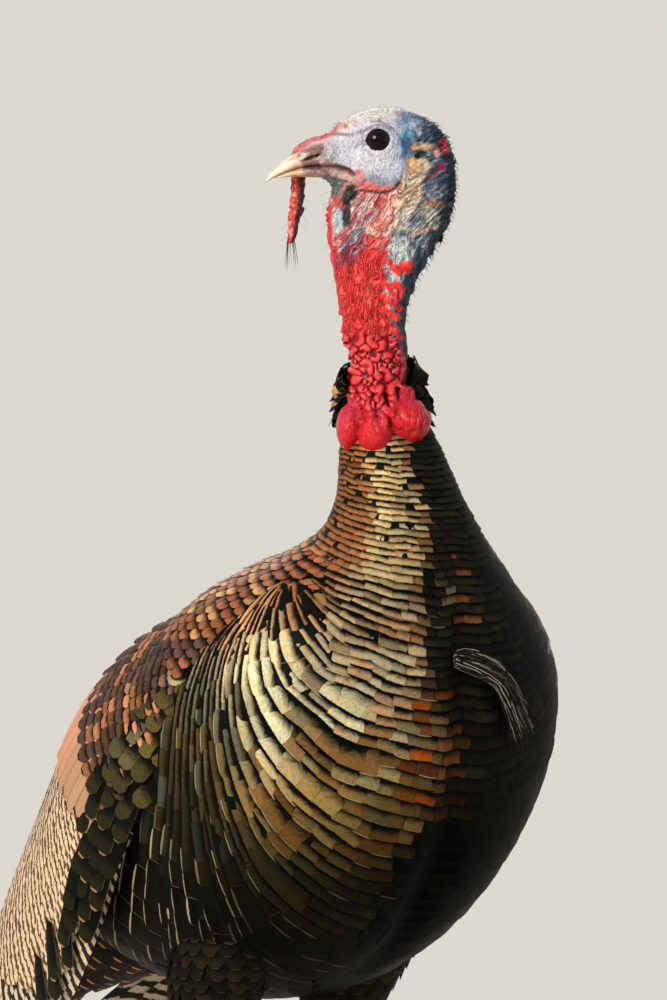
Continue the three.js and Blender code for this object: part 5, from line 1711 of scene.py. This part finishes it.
barred_cream = barred_material("barred_secondary_vane", "#ddc9ae", "#5e3f29", 9.5, 13.0, band=0.0)
barred_dark = barred_material("barred_primary_vane", "#d9cbb6", "#2c2521", 13.0, 7.0, band=-0.35)
plain_bronze = barred_material("streaked_bronze_vane", "#ffffff", "#6b4436", 9.0, 1.5, gloss=0.42,
                               band=0.15, bars=0.12, grain=(0.7, 0.04),
                               ends=[(4.5, "#17110f"), (1.3, "#d8cdbd")])
white = np.ones(3)
for name, side in SIDES:
    surface = wing_surface(side)

    def covert_vanes(row, percent, u, v, ahead, cell, show, width):
        n = len(percent)
        return vanes(surface, u, v, ahead, show * 2.6, width * random.uniform(0.95, 1.1, n),
                     covert_tint(u, v, surface(u, v)), rgb("#0d0c0f"), cell, out=side,
                     lift=random.uniform(0, 0.8, n) + 1.5, slope=0.13,
                     line=np.interp(u, [0, 0.3], [0.7, 1.9]), show=show, roll=0.2, arch=0.06,
                     yaw=random.normal(0, 0.05, n), curl=random.uniform(0, 0.6, n))

    rows = spaced(0.005, 0.37, lambda l: float(np.interp(l, [0, 0.2, 0.37], [5, 8, 12])),
                  lambda l: surface(l, np.full_like(l, 0.3)))
    coat("wing_covert_feathers_" + name, copper,
         lay_rows(rows, chord_line, lambda row: (-3, np.interp(row, [0, 0.2, 0.37], [70, 88, 96])),
                  surface,
                  lambda row, c: np.interp(row, [0, 0.2, 0.37], [7, 10, 15]) + 0 * c,
                  covert_vanes), ["wing_coverts_" + name])
    chords = np.arange(0.02, 0.95, 0.085)
    n = len(chords)
    plain = painted("#cf8e78", ("#b08e6e", ramp(chords, 0.1, 0.7)))
    plain = plain * random.uniform(0.88, 1.08, n)[:, None]
    coat("wing_bronze_coverts_" + name, plain_bronze,
         [strips(surface, side, 0.49 - 0.1 * chords + 0.012 * (np.arange(n) % 2), chords, 95, 24,
                 plain, white, lift=np.linspace(1.9, 0.6, n), slope=0.022, roll=0.7, narrow=0.4)])
    chords = np.arange(0.0, 0.9, 0.075)
    n = len(chords)
    coat("secondary_feathers_" + name, barred_cream,
         [strips(surface, side, 0.87 - 0.13 * chords ** 2 - 0.02 * (np.arange(n) % 2), chords, 215,
                 30, np.repeat(np.linspace(0.95, 1.0, n)[:, None], 3, 1), white,
                 lift=np.linspace(0.4, -2.2, n), slope=0.008, roll=1.3, arch=0.03, narrow=0.3)],
         ["wing_secondaries_" + name])
    chords = np.array([0.3, 0.45, 0.6, 0.72, 0.82, 0.9, 0.97])
    n = len(chords)
    coat("primary_feathers_" + name, barred_dark,
         [strips(surface, side, np.linspace(0.995, 0.8, n), chords, 230, 26, np.full((n, 3), 0.95),
                 white, lift=np.linspace(-2.2, -4.6, n), slope=0.006, roll=1.0, arch=0.03,
                 narrow=0.3)], ["wing_primaries_" + name])

# ---- Tail -----------------------------------------------------------------------------------
# Eighteen long feathers closed into a narrow arched fan, brown with fine dark bars, a black
# band and a tan end, with rounded coverts above and below their roots.
TAIL_ROOT = np.array([0.0, 246.0, 338.0])
TAIL_DROP = math.radians(32)
TAIL_LENGTH = 376.0
TAIL_WIDTHS = [[34], [48], [58], [63], [60]]
TAIL_FEATHERS = 18
tail_back = np.array([0, math.cos(TAIL_DROP), -math.sin(TAIL_DROP)])
tail_up = np.array([0, math.sin(TAIL_DROP), math.cos(TAIL_DROP)])


def tail_surface(along, across, rise=0.0):
    half = row_at(TAIL_WIDTHS, along * 4)[..., 0]
    lift = rise - 0.28 * half * across ** 2
    at = TAIL_ROOT + tail_back * (along * TAIL_LENGTH)[..., None] + tail_up * lift[..., None]
    at[..., 0] = half * across
    return at


def covert_surface(sign, reach, depth):
    """The shallow cap of coverts on one face of the tail; t runs from its root to its end."""
    def surface(t, across):
        height = depth * (1 - t) * (1 - 0.7 * across ** 2) + 1
        along = t * reach * np.sqrt(np.maximum(1 - 0.8 * across ** 2, 0.1))
        return tail_surface(along, across * 0.97, sign * (5.3 - 3.5 * along + height))
    return surface


barred_tail = barred_material("barred_tail_vane", "#8f6a48", "#241a15", 5.5, 5.0, band=0.2,
                              ends=[(42.0, "#17120f"), (13.0, "#c39a68")])
across = np.linspace(-0.93, 0.93, TAIL_FEATHERS)
tips = 1 - 0.07 * across ** 2
tau = tail_surface(tips, across + 0.02) - tail_surface(tips, across - 0.02)
coat("tail_fan_feathers", barred_tail,
     [vanes(tail_surface, tips, across, tau, 345, 34, np.full((TAIL_FEATHERS, 3), 1.0), white,
            strip_cells(TAIL_FEATHERS), lift=1.6 - 3.0 * np.abs(across), slope=0.0, blunt=True,
            roll=-0.7 * np.sign(across), arch=0.02, along=LONG, across=ROUND, narrow=0.55,
            thick=0.6)], ["tail"])
for name, sign, reach, depth in (("upper", 1, 0.62, 30), ("lower", -1, 0.5, 26)):
    surface = covert_surface(sign, reach, depth)

    def tail_covert_vanes(row, percent, u, v, ahead, cell, show, width):
        n = len(percent)
        tint = painted("#4a3527", ("#6f4c33", random.random(n)))
        return vanes(surface, u, v, ahead, show * 2.5, width * random.uniform(0.95, 1.1, n), tint,
                     rgb("#c39a6a"), cell, out=sign, lift=random.uniform(0.2, 1.0, n),
                     slope=0.09, line=3.2, show=show, roll=0.3,
                     yaw=random.normal(0, 0.05, n), curl=random.uniform(0, 0.8, n))

    rows = spaced(0.06, 0.97, lambda t: 15.0, lambda t: surface(t, np.zeros_like(t)))
    coat("tail_covert_feathers_" + name, copper,
         lay_rows(rows, chord_line, lambda row: (-88, 88), surface,
                  lambda row, c: 24.0 + 0 * c, tail_covert_vanes), ["tail_coverts_" + name])

# ---- Vent feathers --------------------------------------------------------------------------
# Loose dark feathers under the root of the tail, between the legs and the tail's own coverts,
# each with a tan crescent at its end.
def vent_surface(t, across):
    half = np.interp(t, [0, 0.4, 1], [74, 70, 48])
    middle = np.interp(t, [0, 0.25, 0.5, 1], [308, 286, 280, 272])
    return np.stack([half * across, 132 + 180 * t, middle - 26 * t + 34 * across ** 2], -1)


def vent_vanes(row, percent, u, v, ahead, cell, show, width):
    n = len(percent)
    return vanes(vent_surface, u, v, ahead, show * 2.6, width * random.uniform(0.95, 1.15, n),
                 painted("#14110e", ("#2a2119", random.random(n))), rgb("#b98a5e"), cell,
                 out=-1, lift=random.uniform(0.2, 3.0, n), slope=0.14, line=2.0,
                 show=show, roll=random.normal(0, 0.4, n), arch=0.06,
                 yaw=random.normal(0, 0.1, n), curl=random.uniform(0, 2.5, n))


coat("vent_feathers", bronze,
     lay_rows(np.linspace(0.08, 0.98, 11), chord_line, lambda row: (-96, 96), vent_surface,
              lambda row, c: 19.0 + 0 * c, vent_vanes))

# ---- Thigh feathers -------------------------------------------------------------------------
# Short soft dark feathers with dull brown ends, down to the hock.
for name, side in SIDES:
    def surface(t, angle, side=side):
        return thigh_surface(side, t, angle)

    def thigh_vanes(row, phi, u, v, ahead, cell, show, width):
        n = len(phi)
        tint = painted("#17130f", ("#2e261d", random.random(n)))
        return vanes(surface, u, v, ahead, show * 2.6, width * random.uniform(0.9, 1.15, n), tint,
                     rgb("#3c3024"), cell, out=side, first=-0.03, lift=random.uniform(-0.6, 0.4, n),
                     slope=0.15, line=1.0, show=show, roll=0.2,
                     yaw=random.normal(0, 0.1, n))

    rows = spaced(0.02, 0.99, lambda t: float(np.interp(t, [0, 1], [10, 6])),
                  lambda t: surface(t, np.zeros_like(t)))
    coat("thigh_feathers_" + name, bronze,
         lay_rows(rows, back_line, lambda row: (-180, 180), surface,
                  lambda row, phi: np.interp(row, [0, 0.6, 1], [18, 12, 8]) + 0 * phi,
                  thigh_vanes))

# ---- Flank feathers -------------------------------------------------------------------------
# Dark feathers of the flank that lie in rows over the lower edge of each folded wing, dull
# bronze towards the shoulder and with narrow tan ends further back.
FLANK_AT = [0, 0.12, 0.24, 0.42, 0.64, 0.8]
FLANK_FROM = [54, 62, 71, 79, 90, 100]


def flank_line(row, percent):
    return row - 0.0011 * (percent - 80), percent / 100


for name, side in SIDES:
    surface = wing_surface(side)

    def flank_vanes(row, percent, u, v, ahead, cell, show, width):
        n = len(percent)
        chance = random.random(n)
        tint = painted("#25241a", ("#75673f", random.uniform(0.3, 1, n) * ramp(-u, -0.42, -0.14)),
                       ("#9a9478", (chance < 0.35) * ramp(-u, -0.34, -0.12) * 0.8))
        tan = (chance > 0.4) * ramp(u, 0.3, 0.45)
        return vanes(surface, u, v, ahead, np.clip(show * 2.6, 26, 60), width, tint,
                     painted("#0b0b0a", ("#a27c50", tan)), cell, out=side, first=-0.02,
                     lift=random.uniform(1.8, 3.2, n), slope=0.06,
                     line=mix(1.2, 1.9, tan), show=show, roll=0.3,
                     yaw=random.normal(0.05, 0.07, n), curl=random.uniform(0, 1.0, n))

    coat("flank_feathers_" + name, bronze,
         lay_rows(np.linspace(0.035, 0.82, 21), flank_line,
                  lambda row: (np.interp(row, FLANK_AT, FLANK_FROM), 107), surface,
                  lambda row, percent: 13.0 + 0 * percent, flank_vanes))

# ---- Ruff -----------------------------------------------------------------------------------
# Loose black feathers standing out behind the knobs where the bare neck meets the feathers,
# the ones on the bird's right with tan ends.
def collar(u, angle):
    top = np.interp(np.degrees(angle), [-75, -50, 40, 130, 155], [666, 680, 690, 688, 666])
    reach = 22.5 + 6 * u
    return np.stack([-1 + reach * np.sin(angle), -14 - 6 * u + reach * np.cos(angle),
                     top - (top - 646) * u], -1)


def ruff_vanes(row, phi, u, v, ahead, cell, show, width):
    n = len(phi)
    tan = (phi < -26) * (random.random(n) < 0.6)
    return vanes(collar, u, v, ahead, 22, width * random.uniform(0.8, 1.2, n),
                 painted("#15130f", ("#241d18", random.random(n))),
                 painted("#0a0908", ("#9c7658", tan)), cell,
                 lift=random.uniform(2.5, 6.5, n), slope=0.22, line=mix(0.8, 3.4, tan),
                 show=9.0, roll=random.normal(0, 0.9, n), arch=0.08, yaw=random.normal(0, 0.22, n),
                 curl=random.uniform(0, 3, n), first=-0.02)


coat("ruff_feathers", bronze,
     lay_rows(np.linspace(0.3, 1.12, 6), back_line, lambda row: (-66, 150), collar,
              lambda row, phi: 11.0 + 0 * phi, ruff_vanes))

# ---- Beard and bristles ---------------------------------------------------------------------
# The beard is a brush of long coarse hairs hanging from the breast groove; short stiff bristles
# stand on the bare head and nape and a tuft hangs from the snood.
def strands(paths, radii, tint, cells, sides=4):
    """Closed tapering hairs along paths, ready for a coat; radii run along each of them."""
    n, m = paths.shape[:2]
    way = np.gradient(paths, axis=1)
    way /= np.linalg.norm(way, axis=-1, keepdims=True)
    one = np.cross(way, (0.31, 0.52, 0.8))
    one /= np.linalg.norm(one, axis=-1, keepdims=True)
    other = np.cross(way, one)
    turn = np.linspace(0, 2 * np.pi, sides, endpoint=False)[:, None]
    ring = one[:, :, None] * np.cos(turn) + other[:, :, None] * np.sin(turn)
    thick = np.broadcast_to(radii, (n, m))[:, :, None, None]
    points = (paths[:, :, None] + ring * thick).reshape(n, -1, 3)
    k, c = sides * np.arange(m - 1)[:, None], np.arange(sides)
    quads = np.stack([k + c, k + (c + 1) % sides, k + sides + (c + 1) % sides, k + sides + c], -1)
    caps = np.array([[0, c + 2, c + 1, c] for c in range(1, sides - 2, 2)])
    tips = caps[:, ::-1] + sides * (m - 1)
    faces = np.concatenate([quads.reshape(-1, 4), caps, tips])
    per = m * sides
    spot = np.stack(np.meshgrid(np.linspace(0, 1, m), np.linspace(0, 1, sides), indexing="ij"), -1)
    blank = np.zeros((n * per, 3))
    tint = with_alpha(np.repeat(np.broadcast_to(tint, (n, 3)), per, 0))
    return {"points": points.reshape(-1, 3),
            "faces": (faces[None] + per * np.arange(n)[:, None, None]).reshape(-1, 4),
            "outline": np.zeros(n * per, bool), "vane": blank, "span": blank, "tint": tint,
            "edge": tint,
            "map": (cells[:, None] + 0.003 * spot[..., ::-1].reshape(1, per, 2)).reshape(-1, 2)}


def horny_material(name, gloss, level, grain, blotch):
    """Hair or horn in its own tint, with a grain and blotches of a size in cycles a metre."""
    made, tree = new_material(name)
    tint = node(tree, "Attribute", attribute_name="tint")
    at = node(tree, "TexCoord")
    spots = node(tree, "TexNoise", {"Vector": at.outputs["Object"]}, Scale=blotch, Detail=4.0)
    fine = node(tree, "TexNoise", {"Vector": at.outputs["Object"]}, Scale=grain)
    shade = node(tree, "MapRange", [spots, 0.3, 0.7, 0.72, 1.25])
    shaded = node(tree, "VectorMath", [tint, shade], operation="MULTIPLY")
    bump = node(tree, "Bump", {"Height": fine}, Strength=0.3, Distance=0.0004)
    surface = node(tree, "BsdfPrincipled", {"Base Color": shaded, "Normal": bump}, Roughness=gloss,
                   Specular_IOR_Level=level)
    node(tree, "OutputMaterial", [surface])
    return made


hair = horny_material("coarse_dark_hair", 0.45, 0.2, 900.0, 160.0)
n, along_it = 130, np.linspace(0, 1, 11)
reach = random.uniform(0.62, 0.93, n)[:, None] * along_it
fan = np.interp(reach, [0, 0.12, 0.3, 0.6, 1.05], [3.2, 6.5, 6.8, 7.5, 13])
offset = random.uniform(-1, 1, (n, 3))
offset /= np.maximum(np.linalg.norm(offset, axis=1, keepdims=True), 1)
sway = 0.7 * np.sin(reach * random.uniform(7, 13, (n, 1)) + random.uniform(0, 6.3, (n, 1)))
STOPS = [0, 0.15, 0.3, 0.45, 0.65, 0.85, 1.05]
hair_s = (np.interp(reach, STOPS, [4.9, 4.96, 5.08, 5.3, 5.68, 6.02, 6.3])
          + (offset[:, :1] * fan + sway) / 30 - 0.12 * np.maximum(-offset[:, 1:2], 0) * reach ** 3)
hair_phi = (np.interp(reach, STOPS, [4, -2, -8, -11, -14.5, -18, -20.5])
            + (offset[:, 1:2] * fan + sway) / 2.1)
hair_out = np.interp(reach, STOPS, [1, 6, 8.5, 9, 8, 7, 5]) + 0.55 * offset[:, 2:] * fan + 1.5
paths = body_surface(hair_s, np.pi + np.radians(hair_phi), np.maximum(hair_out, 1.2))
# About a third of the hairs are pale grey: painted glints of light on the beard.
painted_glint = random.random(n) < 0.36
tint = painted("#14110e", (painted("#6b6452", ("#c4bda8", random.random(n))), painted_glint))
cells = np.stack([0.5 - hair_phi[:, 0] / 360, hair_s[:, 0] / 16], -1)
coat("beard_hairs", hair,
     [strands(paths, np.interp(along_it, [0, 0.1, 0.7, 1], [0.3, 0.4, 0.34, 0.12])
              * np.where(painted_glint, 0.66, 1.0)[:, None], tint, cells)], ["beard"])

batches = []
for count, length, thick, chosen, tone_of in [
        (380, (2.2, 3.8), 0.27, (at_head[:, 2] > 712)
         & (at_head[:, 1] < np.interp(at_head[:, 2], *NAPE_LINE) + 9), "#0c0d12"),
        (170, (1.8, 3.6), 0.11, (at_head[:, 2] > 835) & (at_head[:, 1] > -34), "#3a3436"),
        (130, (1.2, 2.4), 0.10, (at_head[:, 2] > 805) & (at_head[:, 1] > -16), "#2c2c3c"),
        (46, (4.0, 8.0), 0.10, (at_head[:, 2] > 712) & (at_head[:, 2] < 800)
         & (at_head[:, 1] > np.interp(at_head[:, 2], *THROAT_LINE) - 4), "#2a1c1c"),
        (16, (11, 17), 0.17, (at_head[:, 2] < 768) & (at_head[:, 1] > 52)
         & (at_head[:, 2] > 760), "#1a1614")]:
    roots = random.choice(np.nonzero(chosen)[0], count)
    away = facing[roots] * 1.0 + random.normal(0, 0.16, (count, 3))
    hang = (0.5, 0, -6.0) if length[0] > 10 else (0, 0, -0.45)
    away = away + (np.array(hang) if length[0] > 3.5 or thick > 0.2 else 0)
    away /= np.linalg.norm(away, axis=1, keepdims=True)
    t = np.linspace(-0.12, 1, 5)[None, :, None]
    size = random.uniform(*length, count)[:, None, None]
    paths = at[roots][:, None] + away[:, None] * t * size + np.array((0, 0, -0.22)) * size * t ** 2
    around = np.arctan2(at_head[roots, 0], at_head[roots, 1]) / (2 * np.pi) + 0.5
    cells = np.stack([around * 0.99, (at_head[roots, 2] - 630) / 235], -1)
    batches.append(strands(paths, thick * np.interp(t[0, :, 0], [0, 1], [1, 0.2]), rgb(tone_of),
                           np.clip(cells, 0, 0.996)))
coat("head_bristles", hair, batches)

# ---- Claws and spurs ------------------------------------------------------------------------
# Dark blunt horn: a claw on every toe and a pointed spur at the back of each shank.
claw_horn = horny_material("dark_claw_horn", 0.36, 0.4, 700.0, 220.0)
t = np.linspace(0, 1, 12)
for name, side in SIDES:
    for toe, (heading, length, _) in zip(("inner", "middle", "outer", "hind"), TOES):
        ahead = np.array([math.sin(math.radians(heading)), -math.cos(math.radians(heading))])
        reach = (length * 0.94 + 13 * t)[:, None]
        path = np.concatenate([FOOT + ahead * reach,
                               (mix(3.5, 1.0, t ** 1.4) + 0.9 * np.sin(np.pi * t))[:, None]], 1)
        thick = mix(3.0, 0.45, t ** 1.1)
        tone_of = mix(rgb("#3b2f29"), rgb("#86725f"), t[-1] * 0.2)
        coat("claw_sheath_" + toe + "_" + name, claw_horn,
             [strands(path[None] * (side, 1, 1), thick, tone_of, np.array([[0.4, 0.4]]), 10)],
             ["claw_" + toe + "_" + name])
    away = np.array([-0.45, 0.87, 0.2])
    path = np.array([55, 90, 62]) + (5 + 20 * t)[:, None] * away
    path = path + np.array([0, 0, 4]) * t[:, None] ** 2
    coat("spur_sheath_" + name, claw_horn,
         [strands(path[None] * (side, 1, 1), mix(4.6, 0.5, t ** 0.9), rgb("#4a3a30"),
                  np.array([[0.4, 0.4]]), 10)], ["spur_" + name])
